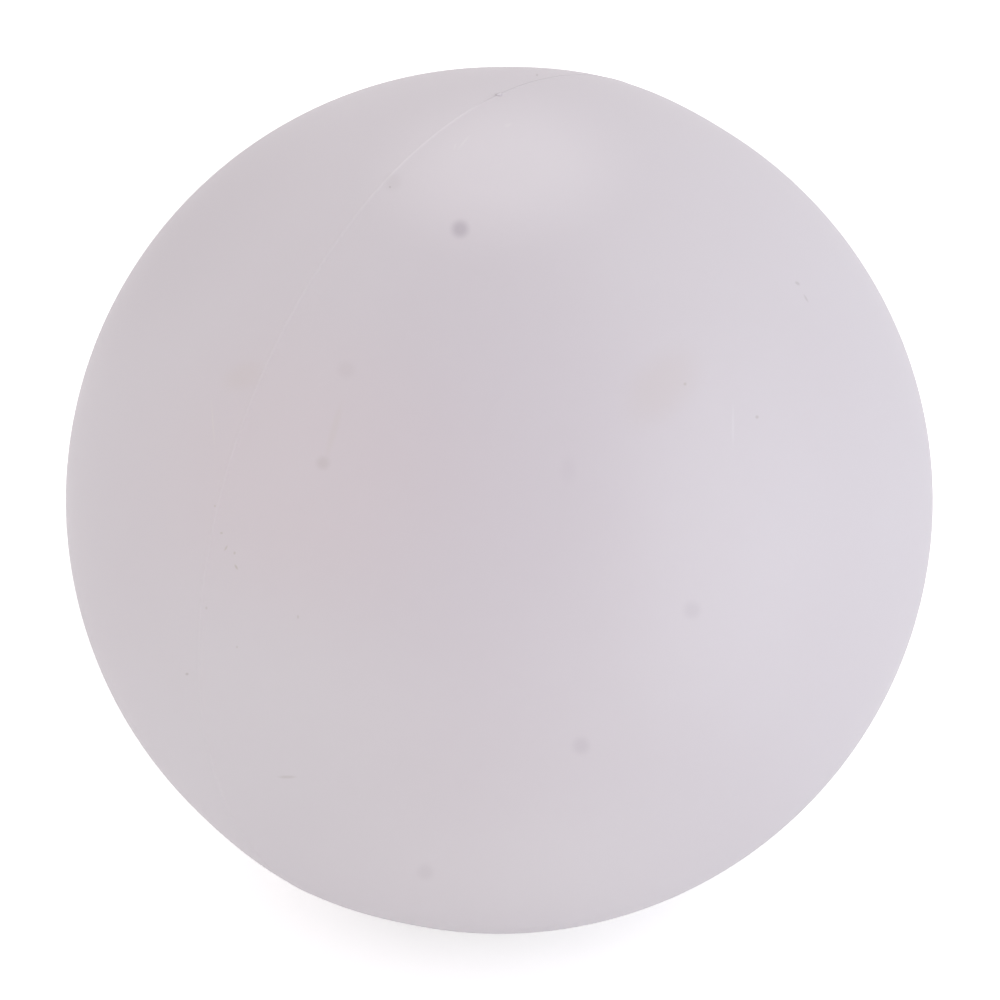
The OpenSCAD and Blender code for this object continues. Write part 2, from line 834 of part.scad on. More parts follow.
module led_chips() {
    color("ivory")
        round_array(led_count, led_ring_r, 180 / led_count)
            translate([0, 0, led_top_z]) {
                translate([-led_w / 2, -led_w / 2, 0]) cube([led_w, led_w, led_h]);
                translate([0, 0, led_h]) cylinder(r = led_lens_r, h = led_lens_h, $fn = 48);
            }
}

module led_spacers() {
    color("lightgray")
        for (a = led_boss_angles)
            rotate([0, 0, a])
                translate([led_boss_ring, 0, plug_top_z]) ring(small_screw_r + hole_gap, spacer_r, spacer_h);
}

module led_board_screws() {
    color("silver")
        for (a = led_boss_angles)
            rotate([0, 0, a])
                translate([led_boss_ring, 0, led_top_z + small_head_h])
                    rotate([180, 0, 0])
                        screw(
                            small_screw_r,
                            small_head_r,
                            small_head_h,
                            led_board_t + spacer_h + led_screw_l - screw_tip_gap
                        );
}

module led_dome() {
    color("white", 0.8)
        difference() {
            union() {
                translate([0, 0, dome_z]) disc(dome_flange_r, dome_flange_t, 0, small_edge);
                intersection() {
                    translate([0, 0, dome_centre_z]) sphere(r = dome_r, $fn = 128);
                    translate([0, 0, dome_z]) cylinder(r = dome_flange_r, h = dome_h + 2 * dome_flange_t);
                }
            }
            intersection() {
                translate([0, 0, dome_centre_z]) sphere(r = dome_r - dome_wall, $fn = 128);
                translate([0, 0, dome_z - cut]) cylinder(r = dome_flange_r, h = dome_h + 2 * dome_flange_t);
            }
            round_array(dome_screw_count, dome_screw_ring, 45)
                translate([0, 0, dome_z - cut])
                    cylinder(r = screw_r + hole_gap, h = dome_flange_t + 2 * cut, $fn = 32);
        }
}

module dome_seal() {
    color("dimgray")
        difference() {
            translate([0, 0, plug_top_z]) ring(dome_base_r, dome_flange_r - fit_gap, dome_seal_t);
            round_array(dome_screw_count, dome_screw_ring, 45)
                translate([0, 0, plug_top_z - cut])
                    cylinder(r = screw_r + hole_gap, h = dome_seal_t + 2 * cut, $fn = 32);
        }
}

module dome_screws() {
    color("silver")
        round_array(dome_screw_count, dome_screw_ring, 45)
            translate([0, 0, dome_base_z + screw_head_h])
                rotate([180, 0, 0])
                    screw(
                        screw_r,
                        screw_head_r,
                        screw_head_h,
                        dome_flange_t + dome_seal_t + dome_screw_l - screw_tip_gap
                    );
}

module wire_grommet() {
    lip_r = grommet_r + grommet_lip_w;
    color("dimgray")
        translate([0, grommet_y, 0]) {
            translate([0, 0, ceiling_z - grommet_lip_t]) ring(grommet_bore_r, lip_r, grommet_lip_t);
            translate([0, 0, ceiling_z - grommet_lip_t])
                ring(grommet_bore_r, grommet_r - pilot_gap, plug_top_t + 2 * grommet_lip_t);
            translate([0, 0, plug_top_z]) ring(grommet_bore_r, lip_r, grommet_lip_t);
        }
}

// Wires

// From the panel's board up and into the side of the plug block on the left
module panel_leads() {
    start_z = cover_inner_z + panel_board_t;
    color("firebrick")
        for (side = [-0.5, 0.5])
            let (y = plug_side_y + side * lead_pitch)
                wire(
                    [
                        [-panel_lead_x, y, start_z],
                        [-panel_lead_x, y, start_z + wire_out],
                        [-panel_lead_x - wire_sag, y, start_z + 2 * wire_out],
                        [-panel_lead_x + wire_sag, y, plug_block_mid_z - wire_r],
                        [-(panel_lead_x + plug_side_x) / 2, y, plug_block_mid_z],
                        [-plug_side_x, y, plug_block_mid_z]
                    ],
                    [0, 1, 0]
                );
}

// From the cradle's side round and into the side of the plug block on the right
module battery_leads() {
    color("black")
        for (side = [-0.5, 0.5])
            let (
                shift = side * lead_pitch,
                y = plug_side_y + shift,
                x = cell_lead_x + shift
            )
                wire(
                    [
                        [x, holder_near_y, cell_z],
                        [x, holder_near_y + wire_out, cell_z],
                        [x - wire_sag, cell_lead_turn_y + shift / 2, cell_z - wire_sag],
                        [(x + plug_side_x) / 2, y - wire_out / 2, plug_block_mid_z + wire_sag],
                        [plug_side_x + wire_out / 2, y, plug_block_mid_z],
                        [plug_side_x, y, plug_block_mid_z]
                    ],
                    [0, 0, 1]
                );
}

// From the front block up through the grommet to the LED board
module led_leads() {
    middle_z = (plug_block_top_z + ceiling_z) / 2;
    color("seagreen")
        for (i = [-1, 0, 1])
            wire(
                [
                    [led_lead_pitch * i, led_lead_y, plug_block_top_z],
                    [led_lead_pitch * i, led_lead_y, plug_block_top_z + wire_out],
                    [(led_lead_pitch + led_lead_close) / 2 * i, (led_lead_y + grommet_y) / 2, middle_z],
                    [led_lead_close * i, grommet_y, ceiling_z - wire_out],
                    [led_lead_close * i, grommet_y, plug_top_z],
                    [led_lead_close * i, grommet_y, led_board_z]
                ],
                [0, 1, 0]
            );
}

// Tether bail, folded flat in its pocket

module tether_bail() {
    color("silver")
        translate([0, 0, bail_z]) {
            translate([0, -bail_leg_y, 0])
                rotate([0, 0, 180])
                    rotate_extrude(angle = 180) translate([bail_bow_r, 0]) circle(r = bail_wire_r, $fn = 48);
            for (side = [0, 1])
                mirror([side, 0, 0]) {
                    translate([bail_half_w, -bail_leg_y, 0])
                        rotate([0, 0, 90])
                            rotate_extrude(angle = 90) translate([bail_elbow_r, 0])
                                circle(r = bail_wire_r, $fn = 48);
                    translate([bail_half_w, -bail_y, 0])
                        rotate([0, 90, 0]) cylinder(r = bail_wire_r, h = bail_trunnion_l, $fn = 48);
                }
        }
}

globe_shell();
neck_collar();
neck_gasket();
base_housing();
plug_o_ring();
bottom_cover();
cover_seal();
cover_screws();
rubber_feet();
panel_window();
panel_seal();
solar_cells();
panel_board();
power_button();
button_seal();
switch_plunger();
tact_switch();
control_board();
board_parts();
board_screws();
battery_cell();
battery_holder();
holder_pad();
battery_contacts();
led_board();
led_chips();
led_spacers();
led_board_screws();
led_dome();
dome_seal();
dome_screws();
wire_grommet();
panel_leads();
battery_leads();
led_leads();
tether_bail();
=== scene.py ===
"""A floating pool light in a white studio: a translucent moulded ball that screws onto a flat solar base."""

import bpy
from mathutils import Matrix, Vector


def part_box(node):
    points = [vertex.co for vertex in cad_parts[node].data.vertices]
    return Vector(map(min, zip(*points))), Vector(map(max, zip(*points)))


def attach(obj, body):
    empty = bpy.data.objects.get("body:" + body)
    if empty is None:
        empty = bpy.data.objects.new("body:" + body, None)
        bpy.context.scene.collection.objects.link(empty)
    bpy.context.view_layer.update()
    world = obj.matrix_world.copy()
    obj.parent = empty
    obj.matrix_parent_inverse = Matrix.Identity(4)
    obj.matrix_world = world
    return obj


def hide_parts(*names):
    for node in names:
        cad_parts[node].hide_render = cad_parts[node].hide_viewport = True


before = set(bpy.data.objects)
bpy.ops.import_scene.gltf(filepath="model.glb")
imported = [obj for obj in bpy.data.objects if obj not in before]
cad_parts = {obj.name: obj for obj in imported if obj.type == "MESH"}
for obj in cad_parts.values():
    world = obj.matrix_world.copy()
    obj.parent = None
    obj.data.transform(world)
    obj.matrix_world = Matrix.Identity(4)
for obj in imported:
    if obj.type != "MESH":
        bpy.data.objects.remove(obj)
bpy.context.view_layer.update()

import logging
import math
from dataclasses import dataclass
from enum import Enum
from functools import cached_property
from typing import Any, Callable, ClassVar

import bmesh
import bpy
from mathutils import Matrix, Vector

logging.basicConfig(level=logging.INFO, format="%(message)s")
log = logging.getLogger("pool_light")

MM = 0.001
UP = Vector((0.0, 0.0, 1.0))
WHITE = "#FFFFFF"
PHOTO_PX = 1000

# Points closer than this to a plane lie on it
TOUCH = 0.01 * MM

# Edges that turn by more than this, in degrees, are rounded or left sharp
ROUNDED_ABOVE = 40.0
SHARP_ABOVE = 35.0


# Small helpers


def linear(hex_colour: str) -> tuple[float, float, float, float]:
    """Turns an sRGB hex colour into the linear colour that a shader takes.

    Args:
        hex_colour: A colour such as "#D8D2D8".

    Returns:
        Red, green, blue and an alpha of 1.
    """
    channels = [int(hex_colour[i : i + 2], 16) / 255 for i in (1, 3, 5)]
    turned = [c / 12.92 if c <= 0.04045 else ((c + 0.055) / 1.055) ** 2.4 for c in channels]
    return (turned[0], turned[1], turned[2], 1.0)


def feed(node: bpy.types.Node, inputs: dict[str | int, Any] | tuple[Any, ...]) -> None:
    """Gives a shader node what its inputs take.

    Args:
        node: The node.
        inputs: Values, sockets or other nodes, by the input's name or place, or in the inputs' order.
            Another node gives the result that it has in use.
    """
    for key, value in inputs.items() if isinstance(inputs, dict) else enumerate(inputs):
        if isinstance(value, bpy.types.Node):
            value = next(socket for socket in value.outputs if socket.enabled)
        if isinstance(value, bpy.types.NodeSocket):
            node.id_data.links.new(value, node.inputs[key])
        else:
            node.inputs[key].default_value = value


def add_node(
    tree: bpy.types.NodeTree,
    kind: str,
    inputs: dict[str | int, Any] | tuple[Any, ...] = (),
    **settings: Any,
) -> bpy.types.Node:
    """Adds a shader node, with its settings and what feeds it.

    Args:
        tree: The node tree that the node goes into.
        kind: The node's type, such as "ShaderNodeTexNoise".
        inputs: What its inputs take, as feed wants it.
        **settings: Attributes of the node, such as operation="MULTIPLY".

    Returns:
        The new node.
    """
    node = tree.nodes.new(kind)
    for name, value in settings.items():
        setattr(node, name, value)
    feed(node, inputs)
    return node


class MeshPart(Enum):
    """What a selection in edit mode is made of."""

    CORNER = "VERT"
    EDGE = "EDGE"
    FACE = "FACE"


def start_edit(piece: bpy.types.Object) -> None:
    """Makes a piece the only selected one and opens it in edit mode.

    Args:
        piece: The piece.
    """
    bpy.ops.object.select_all(action="DESELECT")
    piece.select_set(True)
    bpy.context.view_layer.objects.active = piece
    bpy.ops.object.mode_set(mode="EDIT")


def end_edit() -> None:
    """Closes edit mode."""
    bpy.ops.object.mode_set(mode="OBJECT")


def pick(
    piece: bpy.types.Object,
    wanted: Callable[[Vector], bool],
    part: MeshPart = MeshPart.CORNER,
) -> None:
    """Selects the parts of the open piece whose middle is wanted, and nothing else.

    Args:
        piece: The piece that is open in edit mode.
        wanted: Says of a point, in metres, whether it is wanted.
        part: Whether corners, edges or faces are selected.
    """
    bpy.ops.mesh.select_mode(type=part.value)
    mesh = bmesh.from_edit_mesh(piece.data)
    for item in (*mesh.verts, *mesh.edges, *mesh.faces):
        item.select = False
    mesh.select_flush(False)
    items = {MeshPart.CORNER: mesh.verts, MeshPart.EDGE: mesh.edges, MeshPart.FACE: mesh.faces}[part]
    for item in items:
        corners = [item] if part is MeshPart.CORNER else list(item.verts)
        middle = sum((corner.co for corner in corners), Vector()) / len(corners)
        item.select = wanted(middle)
    mesh.select_flush_mode()
    bmesh.update_edit_mesh(piece.data)


def add_cylinder(
    name: str,
    sides: int,
    radius: float,
    depth: float,
    middle: Vector,
    axis: Vector = UP,
) -> bpy.types.Object:
    """Adds a cylinder to shape a piece from.

    Args:
        name: The piece's name.
        sides: Number of its sides.
        radius: Its radius.
        depth: Its length.
        middle: Its middle.
        axis: Its direction.

    Returns:
        The cylinder.
    """
    bpy.ops.object.select_all(action="DESELECT")
    bpy.ops.mesh.primitive_cylinder_add(
        vertices=sides,
        radius=radius,
        depth=depth,
        location=middle,
        rotation=UP.rotation_difference(axis).to_euler(),
    )
    piece = bpy.context.active_object
    piece.name = name
    bpy.ops.object.transform_apply(location=True, rotation=True, scale=True)
    return piece


def soft_edge(piece: bpy.types.Object, radius: float, steps: int = 3) -> None:
    """Rounds a piece's sharp edges.

    Args:
        piece: The piece.
        radius: Radius of the rounding.
        steps: Faces across it.
    """
    bevel = piece.modifiers.new("soft edge", "BEVEL")
    bevel.width = radius
    bevel.segments = steps
    bevel.limit_method = "ANGLE"
    bevel.angle_limit = math.radians(ROUNDED_ABOVE)


def finish_piece(piece: bpy.types.Object, smooth_angle: float = SHARP_ABOVE) -> None:
    """Applies a piece's place and modifiers, so that its shape is all in its mesh, and smooths its shading.

    Args:
        piece: The piece.
        smooth_angle: Edges sharper than this, in degrees, stay sharp.
    """
    bpy.ops.object.select_all(action="DESELECT")
    piece.select_set(True)
    bpy.context.view_layer.objects.active = piece
    bpy.ops.object.transform_apply(location=True, rotation=True, scale=True)
    for modifier in list(piece.modifiers):
        bpy.ops.object.modifier_apply(modifier=modifier.name)
    bpy.ops.object.shade_smooth_by_angle(angle=math.radians(smooth_angle))


def dress(piece: bpy.types.Object, material: bpy.types.Material) -> None:
    """Gives a piece one material all over."""
    piece.data.materials.clear()
    piece.data.materials.append(material)


# The camera


@dataclass(frozen=True)
class Shot:
    """The picture's viewpoint, set by the ball.

    Attributes:
        target: Middle of the ball, in metres.
        ball_r: Radius of the ball, in metres.
        elevation: Height of the camera above level, in degrees.
        distance_in_radii: Distance of the camera from the ball's middle, in ball radii.
        ball_radius_px: Radius of the ball in the picture.
        ball_centre_px: Middle of the ball in the picture.
        sensor_mm: Width of the sensor.
        clip: Nearest and farthest distance that the camera sees.
    """

    target: Vector
    ball_r: float
    elevation: float = 28.0
    distance_in_radii: float = 6.5
    ball_radius_px: float = 433.6
    ball_centre_px: tuple[float, float] = (499.3, 500.4)
    sensor_mm: float = 36.0
    clip: tuple[float, float] = (0.01, 50.0)

    @property
    def toward(self) -> Vector:
        """Direction from the ball to the camera."""
        tilt = math.radians(self.elevation)
        return Vector((0.0, -math.cos(tilt), math.sin(tilt)))

    @property
    def eye(self) -> Vector:
        """Place of the camera."""
        return self.target + self.toward * self.distance_in_radii * self.ball_r

    @property
    def focal_px(self) -> float:
        """Focal length in pixels that gives the ball its radius in the picture."""
        return self.ball_radius_px * math.sqrt(self.distance_in_radii**2 - 1)

    def on_ball(self, pixel: tuple[float, float], lean: float) -> tuple[Vector, Matrix]:
        """Finds the point of the ball that a pixel shows.

        Args:
            pixel: The place in the picture.
            lean: Turn of the point's axes in the picture, in degrees.

        Returns:
            The point, and its axes: across the picture, up it, and back along the sight line.
        """
        right = Vector((1.0, 0.0, 0.0))
        up = self.toward.cross(right)
        ray = (
            right * (pixel[0] - self.ball_centre_px[0])
            - up * (pixel[1] - self.ball_centre_px[1])
            - self.toward * self.focal_px
        ).normalized()
        along = (self.target - self.eye).dot(ray)
        miss = (self.target - self.eye).length_squared - along**2
        depth = along - math.sqrt(max(self.ball_r**2 - miss, 0.0))
        turn = math.radians(lean)
        leaning = right * math.cos(turn) + up * math.sin(turn)
        across = (leaning - ray * leaning.dot(ray)).normalized()
        return self.eye + ray * depth, Matrix((across, across.cross(ray), -ray)).transposed()

    def build(self) -> bpy.types.Object:
        """Makes the camera and uses it for the picture.

        Returns:
            The camera.
        """
        data = bpy.data.cameras.new("studio_camera")
        data.sensor_width = self.sensor_mm
        data.lens = self.sensor_mm * self.focal_px / PHOTO_PX
        data.shift_x = (PHOTO_PX / 2 - self.ball_centre_px[0]) / PHOTO_PX
        data.shift_y = (self.ball_centre_px[1] - PHOTO_PX / 2) / PHOTO_PX
        data.clip_start, data.clip_end = self.clip
        camera = bpy.data.objects.new("studio_camera", data)
        bpy.context.scene.collection.objects.link(camera)
        camera.location = self.eye
        camera.rotation_euler = (-self.toward).to_track_quat("-Z", "Y").to_euler()
        bpy.context.scene.camera = camera
        return camera


# Finishes

# How much finer detail a noise has that stands for a grain, for patches of colour or gloss, or for dust
GRAIN_DETAIL = 2.0
COLOUR_DETAIL = 3.0
GLOSS_DETAIL = 4.0
DUST_DETAIL = 6.0

# Levels of a noise between which patches of gloss and dust fade in
GLOSS_RANGE = (0.3, 0.7)
DUST_RANGE = (0.45, 0.8)

# Places of the share and the two values among the inputs of a mix of colours, and of a mix of numbers
COLOUR_MIX = (0, 6, 7)
NUMBER_MIX = (0, 2, 3)


@dataclass(frozen=True)
class Surface:
    """A material in the making.

    Attributes:
        tree: Its node tree.
        shader: Its principled shader.
        place: The point's place on the object, in metres.
    """

    tree: bpy.types.NodeTree
    shader: bpy.types.Node
    place: bpy.types.NodeSocket

    def pattern(self, size_mm: float, **more: float) -> dict[str, Any]:
        """What a pattern that repeats at this size takes in, with more of its inputs by name."""
        return {"Vector": self.place, "Scale": 1 / (size_mm * MM), **more}


@dataclass(frozen=True)
class Relief:
    """A fine relief in a surface.

    Attributes:
        size_mm: Distance from one grain, cell or track to the next.
        depth_mm: Its depth.
        strength: How much of that depth shows.
    """

    size_mm: float
    depth_mm: float
    strength: float

    def build(self, surface: Surface, height: bpy.types.Node) -> None:
        """Lets a height shape the surface.

        Args:
            surface: The surface.
            height: The node that gives the height, from 0 to 1.
        """
        inputs = {"Height": height, "Strength": self.strength, "Distance": self.depth_mm * MM}
        feed(surface.shader, {"Normal": add_node(surface.tree, "ShaderNodeBump", inputs)})

    def build_grain(self, surface: Surface) -> None:
        """Gives the surface an even grain of this size."""
        grain = surface.pattern(self.size_mm, Detail=GRAIN_DETAIL)
        self.build(surface, add_node(surface.tree, "ShaderNodeTexNoise", grain))


@dataclass(frozen=True)
class GlossPatches:
    """Soft patches of more and less gloss, as handled plastic has.

    Attributes:
        glossiest: Change of roughness where the surface is glossiest.
        dullest: Change of roughness where it is dullest.
        size_mm: Size of a patch.
    """

    glossiest: float
    dullest: float
    size_mm: float

    def build(self, surface: Surface, roughness: float) -> None:
        """Lets the surface's roughness wander.

        Args:
            surface: The surface.
            roughness: The roughness that the changes are added to.
        """
        pattern = surface.pattern(self.size_mm, Detail=GLOSS_DETAIL)
        patches = add_node(surface.tree, "ShaderNodeTexNoise", pattern)
        fade = (patches, *GLOSS_RANGE, roughness + self.glossiest, roughness + self.dullest)
        feed(surface.shader, {"Roughness": add_node(surface.tree, "ShaderNodeMapRange", fade)})


@dataclass(frozen=True)
class Finish:
    """What a surface is made of.

    Attributes:
        name: The material's name.
        colour: Its base colour, as sRGB hex.
        roughness: Its roughness, from 0 for a mirror to 1.
        ior: Its index of refraction.
        grain: Its fine grain, if it has one.
        gloss: Its patches of gloss, if it has any.
        sockets: Values of the shader's own sockets that are the same all over it.
    """

    name: str
    colour: str
    roughness: float = 0.45
    ior: float = 1.5
    grain: Relief | None = None
    gloss: GlossPatches | None = None
    sockets: ClassVar[dict[str, Any]] = {}

    def material(self) -> bpy.types.Material:
        """Makes the material, or finds it where it is made already.

        Returns:
            The material, which all pieces of this finish share.
        """
        found = bpy.data.materials.get(self.name)
        if found:
            return found
        material = bpy.data.materials.new(self.name)
        material.use_nodes = True
        tree = material.node_tree
        tree.nodes.clear()
        own = {"Base Color": linear(self.colour), "Roughness": self.roughness, "IOR": self.ior}
        shader = add_node(tree, "ShaderNodeBsdfPrincipled", own | self.sockets)
        add_node(tree, "ShaderNodeOutputMaterial", {"Surface": shader}).name = "Output"
        surface = Surface(tree, shader, add_node(tree, "ShaderNodeTexCoord").outputs["Object"])
        if self.grain:
            self.grain.build_grain(surface)
        if self.gloss:
            self.gloss.build(surface, self.roughness)
        self.build(surface)
        return material

    def build(self, surface: Surface) -> None:
        """Adds the nodes that only this finish has, which is none here."""


def mottled(surface: Surface, colours: tuple[str, str], patch_mm: float) -> bpy.types.Node:
    """Blends two close colours in soft patches.

    Args:
        surface: The surface.
        colours: The two colours, as sRGB hex.
        patch_mm: The size of a patch.

    Returns:
        The node that gives the colour.
    """
    patches = add_node(surface.tree, "ShaderNodeTexNoise", surface.pattern(patch_mm, Detail=COLOUR_DETAIL))
    mixed = dict(zip(COLOUR_MIX, (patches, linear(colours[0]), linear(colours[1]))))
    return add_node(surface.tree, "ShaderNodeMix", mixed, data_type="RGBA")


@dataclass(frozen=True)
class MarkOrPaintedLight:
    """A faint mark on the ball, or a broad zone of painted light, shade or reflection on it.

    Attributes:
        seen_at: Where the mark's middle is seen, in pixels of a 1000 by 1000 picture.
        size_mm: The mark's width and height as seen.
        lean: Turn of the mark in the picture, in degrees.
        colour: Its colour, as sRGB hex.
        strength: How much it covers, from 0 to 1.
    """

    seen_at: tuple[float, float]
    size_mm: tuple[float, float]
    lean: float
    colour: str
    strength: float


@dataclass(frozen=True, kw_only=True)
class MouldedPolyethylene(Finish):
    """Blow-moulded low-density polyethylene: milky, waxy and a little see-through, so shade on it is soft.

    Attributes:
        second_colour: The colour that the soft patches lean to.
        patch_mm: The size of a soft patch.
        marks: Faint scuffs, smudges and specks, and broad zones of painted light, shade and reflection.
        mark_depth_mm: How deep a mark reaches into the wall.
        mark_core: Share of a mark's radius that has its full strength.
        shot: The camera that the marks' places are seen by.
        seam_axis: Direction square to the seam's plane.
        seam_half_mm: Half of the seam line's width.
        seam_core: Share of that half that has the line's full tone.
        seam_colour: Colour of the painted highlight on the seam's flash line, where its ridge faces the
            light.
        seam_strength: How much of that colour shows, where it shows most.
        seam_least: How much shows where it shows least, as a share of the most.
        seam_shade: Colour of the line where it turns from the light.
        pale_from: Where the line's painted highlight starts to show, from the ball's middle along the seam,
            in ball radii.
        pale_full: Where it shows most.
        pale_to: Where it starts to turn to shade.
        shade_full: Where the shade is full.
    """

    grain: Relief | None = Relief(0.9, 0.03, 0.25)
    gloss: GlossPatches | None = GlossPatches(-0.03, 0.05, 35.0)
    sockets: ClassVar[dict[str, Any]] = {
        "Specular IOR Level": 0.03,
        "Subsurface Weight": 0.25,
        "Subsurface Radius": (1.0, 0.95, 1.0),
        "Subsurface Scale": 4 * MM,
    }
    second_colour: str = "#DCD7DD"
    patch_mm: float = 70.0
    marks: tuple[MarkOrPaintedLight, ...]
    mark_depth_mm: float = 20.0
    mark_core: float = 0.2
    shot: Shot
    seam_axis: Vector
    seam_half_mm: float = 0.5
    seam_core: float = 0.4
    seam_colour: str = "#F6F2F6"
    seam_strength: float = 0.3
    seam_least: float = 0.06
    seam_shade: str = "#A39BA3"
    pale_from: float = -0.52
    pale_full: float = -0.34
    pale_to: float = -0.14
    shade_full: float = -0.04

    def build(self, surface: Surface) -> None:
        """Adds the milky colour, the seam's line with its painted highlight and shade, and the marks, among
        them broad zones of painted light and shade.

        Args:
            surface: The surface.
        """
        colour = mottled(surface, (self.colour, self.second_colour), self.patch_mm)
        colour = self.seamed(surface, colour)
        for mark in self.marks:
            colour = self.marked(surface, colour, mark)
        feed(surface.shader, {"Base Color": colour})

    def seamed(self, surface: Surface, colour: bpy.types.Node) -> bpy.types.Node:
        """Draws the flash line of the seam in painted light: a painted highlight on the ball's front
        shoulder, and painted shade over its top.

        Args:
            surface: The surface.
            colour: The node that gives the colour so far.

        Returns:
            The node that gives the colour with the line on it.
        """
        tree = surface.tree
        arm = add_node(tree, "ShaderNodeVectorMath", (surface.place, self.shot.target), operation="SUBTRACT")
        offset, along = (
            add_node(tree, "ShaderNodeVectorMath", (arm, axis), operation="DOT_PRODUCT")
            for axis in (self.seam_axis, UP.cross(self.seam_axis))
        )
        apart = add_node(tree, "ShaderNodeMath", (offset,), operation="ABSOLUTE")
        half = self.seam_half_mm * MM
        line = add_node(tree, "ShaderNodeMapRange", (apart, self.seam_core * half, half, 1.0, 0.0))
        least = self.seam_least * self.seam_strength
        shares = (self.pale_from, self.pale_full, self.pale_to, self.shade_full)
        starts, most, turns, shaded = (share * self.shot.ball_r for share in shares)
        shown = add_node(tree, "ShaderNodeMapRange", (along, starts, most, least, self.seam_strength))
        cover = add_node(tree, "ShaderNodeMath", (line, shown), operation="MULTIPLY")
        # The line's painted highlight turns to painted shade where the ridge turns from the light
        turned = add_node(tree, "ShaderNodeMapRange", (along, turns, shaded, 0.0, 1.0))
        tones = dict(zip(COLOUR_MIX, (turned, linear(self.seam_colour), linear(self.seam_shade))))
        tone = add_node(tree, "ShaderNodeMix", tones, data_type="RGBA")
        return add_node(tree, "ShaderNodeMix", dict(zip(COLOUR_MIX, (cover, colour, tone))), data_type="RGBA")

    def marked(self, surface: Surface, colour: bpy.types.Node, mark: MarkOrPaintedLight) -> bpy.types.Node:
        """Lays one mark, or one zone of painted light or shade, over a colour.

        Args:
            surface: The surface.
            colour: The node that gives the colour so far.
            mark: The mark.

        Returns:
            The node that gives the colour with the mark on it.
        """
        tree = surface.tree
        centre, axes = self.shot.on_ball(mark.seen_at, mark.lean)
        width, height = mark.size_mm
        depth = self.mark_depth_mm + max(mark.size_mm)
        reach = (width / 2 * MM, height / 2 * MM, depth * MM)
        fitted = (surface.place, centre, axes.to_euler(), reach)
        local = add_node(tree, "ShaderNodeMapping", fitted, vector_type="TEXTURE")
        distance = add_node(tree, "ShaderNodeVectorMath", (local,), operation="LENGTH")
        fade = (distance, self.mark_core, 1.0, mark.strength, 0.0)
        cover = add_node(tree, "ShaderNodeMapRange", fade, interpolation_type="SMOOTHSTEP")
        covered = dict(zip(COLOUR_MIX, (cover, colour, linear(mark.colour))))
        return add_node(tree, "ShaderNodeMix", covered, data_type="RGBA")


@dataclass(frozen=True)
class MouldedAbs(Finish):
    """Injection-moulded ABS: opaque and satin, with a fine spark-eroded grain that dulls its highlights."""

    grain: Relief | None = Relief(0.35, 0.02, 0.35)
    gloss: GlossPatches | None = GlossPatches(-0.05, 0.07, 18.0)


@dataclass(frozen=True)
class CastSilicone(Finish):
    """Moulded silicone or rubber: matte and a little dusty, with soft broad highlights.

    Attributes:
        dust: Colour of the dust.
        dust_mm: Size of a dusty patch.
        dust_most: How much the dust covers, where it covers most.
    """

    grain: Relief | None = Relief(0.25, 0.02, 0.3)
    sockets: ClassVar[dict[str, Any]] = {"Sheen Weight": 0.15}
    dust: str = "#8A8A8C"
    dust_mm: float = 6.0
    dust_most: float = 0.25

    def build(self, surface: Surface) -> None:
        """Adds the dusty patches.

        Args:
            surface: The surface.
        """
        tree = surface.tree
        patches = add_node(tree, "ShaderNodeTexNoise", surface.pattern(self.dust_mm, Detail=DUST_DETAIL))
        cover = add_node(tree, "ShaderNodeMapRange", (patches, *DUST_RANGE, 0.0, self.dust_most))
        dusty = dict(zip(COLOUR_MIX, (cover, linear(self.colour), linear(self.dust))))
        feed(surface.shader, {"Base Color": add_node(tree, "ShaderNodeMix", dusty, data_type="RGBA")})


@dataclass(frozen=True)
class ClearPolycarbonate(Finish):
    """Smoke-tinted polycarbonate sheet: it stops a third of the light, and scratches haze it a little."""

    gloss: GlossPatches | None = GlossPatches(0.0, 0.05, 4.0)
    sockets: ClassVar[dict[str, Any]] = {"Alpha": 0.3}


@dataclass(frozen=True)
class FrostedPolycarbonate(Finish):
    """Diffuser-grade polycarbonate: milk white and frosted, so what lies under it hardly shows."""

    grain: Relief | None = Relief(0.5, 0.02, 0.4)
    sockets: ClassVar[dict[str, Any]] = {
        "Transmission Weight": 0.12,
        "Subsurface Weight": 0.4,
        "Subsurface Scale": 2 * MM,
    }


@dataclass(frozen=True)
class SiliconCell(Finish):
    """Coated monocrystalline silicon: dull blue-black, with silver fingers and busbars printed on it.

    Attributes:
        second_colour: The colour that the soft patches lean to.
        patch_mm: The size of a soft patch.
        silver: Colour of the printed silver.
        finger_pitch_mm: Distance between fingers, drawn coarser than the real 1.5 mm so that it shows.
        finger_half_mm: Half of a finger's width.
        busbar_y_mm: Places of the busbars.
        busbar_half_mm: Half of a busbar's width.
    """

    sockets: ClassVar[dict[str, Any]] = {"Specular IOR Level": 0.2}
    second_colour: str = "#101B36"
    patch_mm: float = 9.0
    silver: str = "#9FA6AD"
    finger_pitch_mm: float = 4.0
    finger_half_mm: float = 0.16
    busbar_y_mm: tuple[float, ...] = (-12.0, 12.0)
    busbar_half_mm: float = 0.6

    def build(self, surface: Surface) -> None:
        """Adds the fingers and the busbars.

        Args:
            surface: The surface.
        """
        tree = surface.tree
        y = add_node(tree, "ShaderNodeSeparateXYZ", (surface.place,)).outputs["Y"]
        halfway = self.finger_pitch_mm / 2 * MM
        from_finger = add_node(tree, "ShaderNodeMath", (y, halfway), operation="PINGPONG")
        finger = (from_finger, self.finger_half_mm * MM)
        printed = add_node(tree, "ShaderNodeMath", finger, operation="LESS_THAN")
        for bar_mm in self.busbar_y_mm:
            busbar = (y, bar_mm * MM, self.busbar_half_mm * MM)
            on_busbar = add_node(tree, "ShaderNodeMath", busbar, operation="COMPARE")
            printed = add_node(tree, "ShaderNodeMath", (printed, on_busbar), operation="MAXIMUM")
        base = mottled(surface, (self.colour, self.second_colour), self.patch_mm)
        silvered = dict(zip(COLOUR_MIX, (printed, base, linear(self.silver))))
        feed(surface.shader, {"Base Color": add_node(tree, "ShaderNodeMix", silvered, data_type="RGBA")})


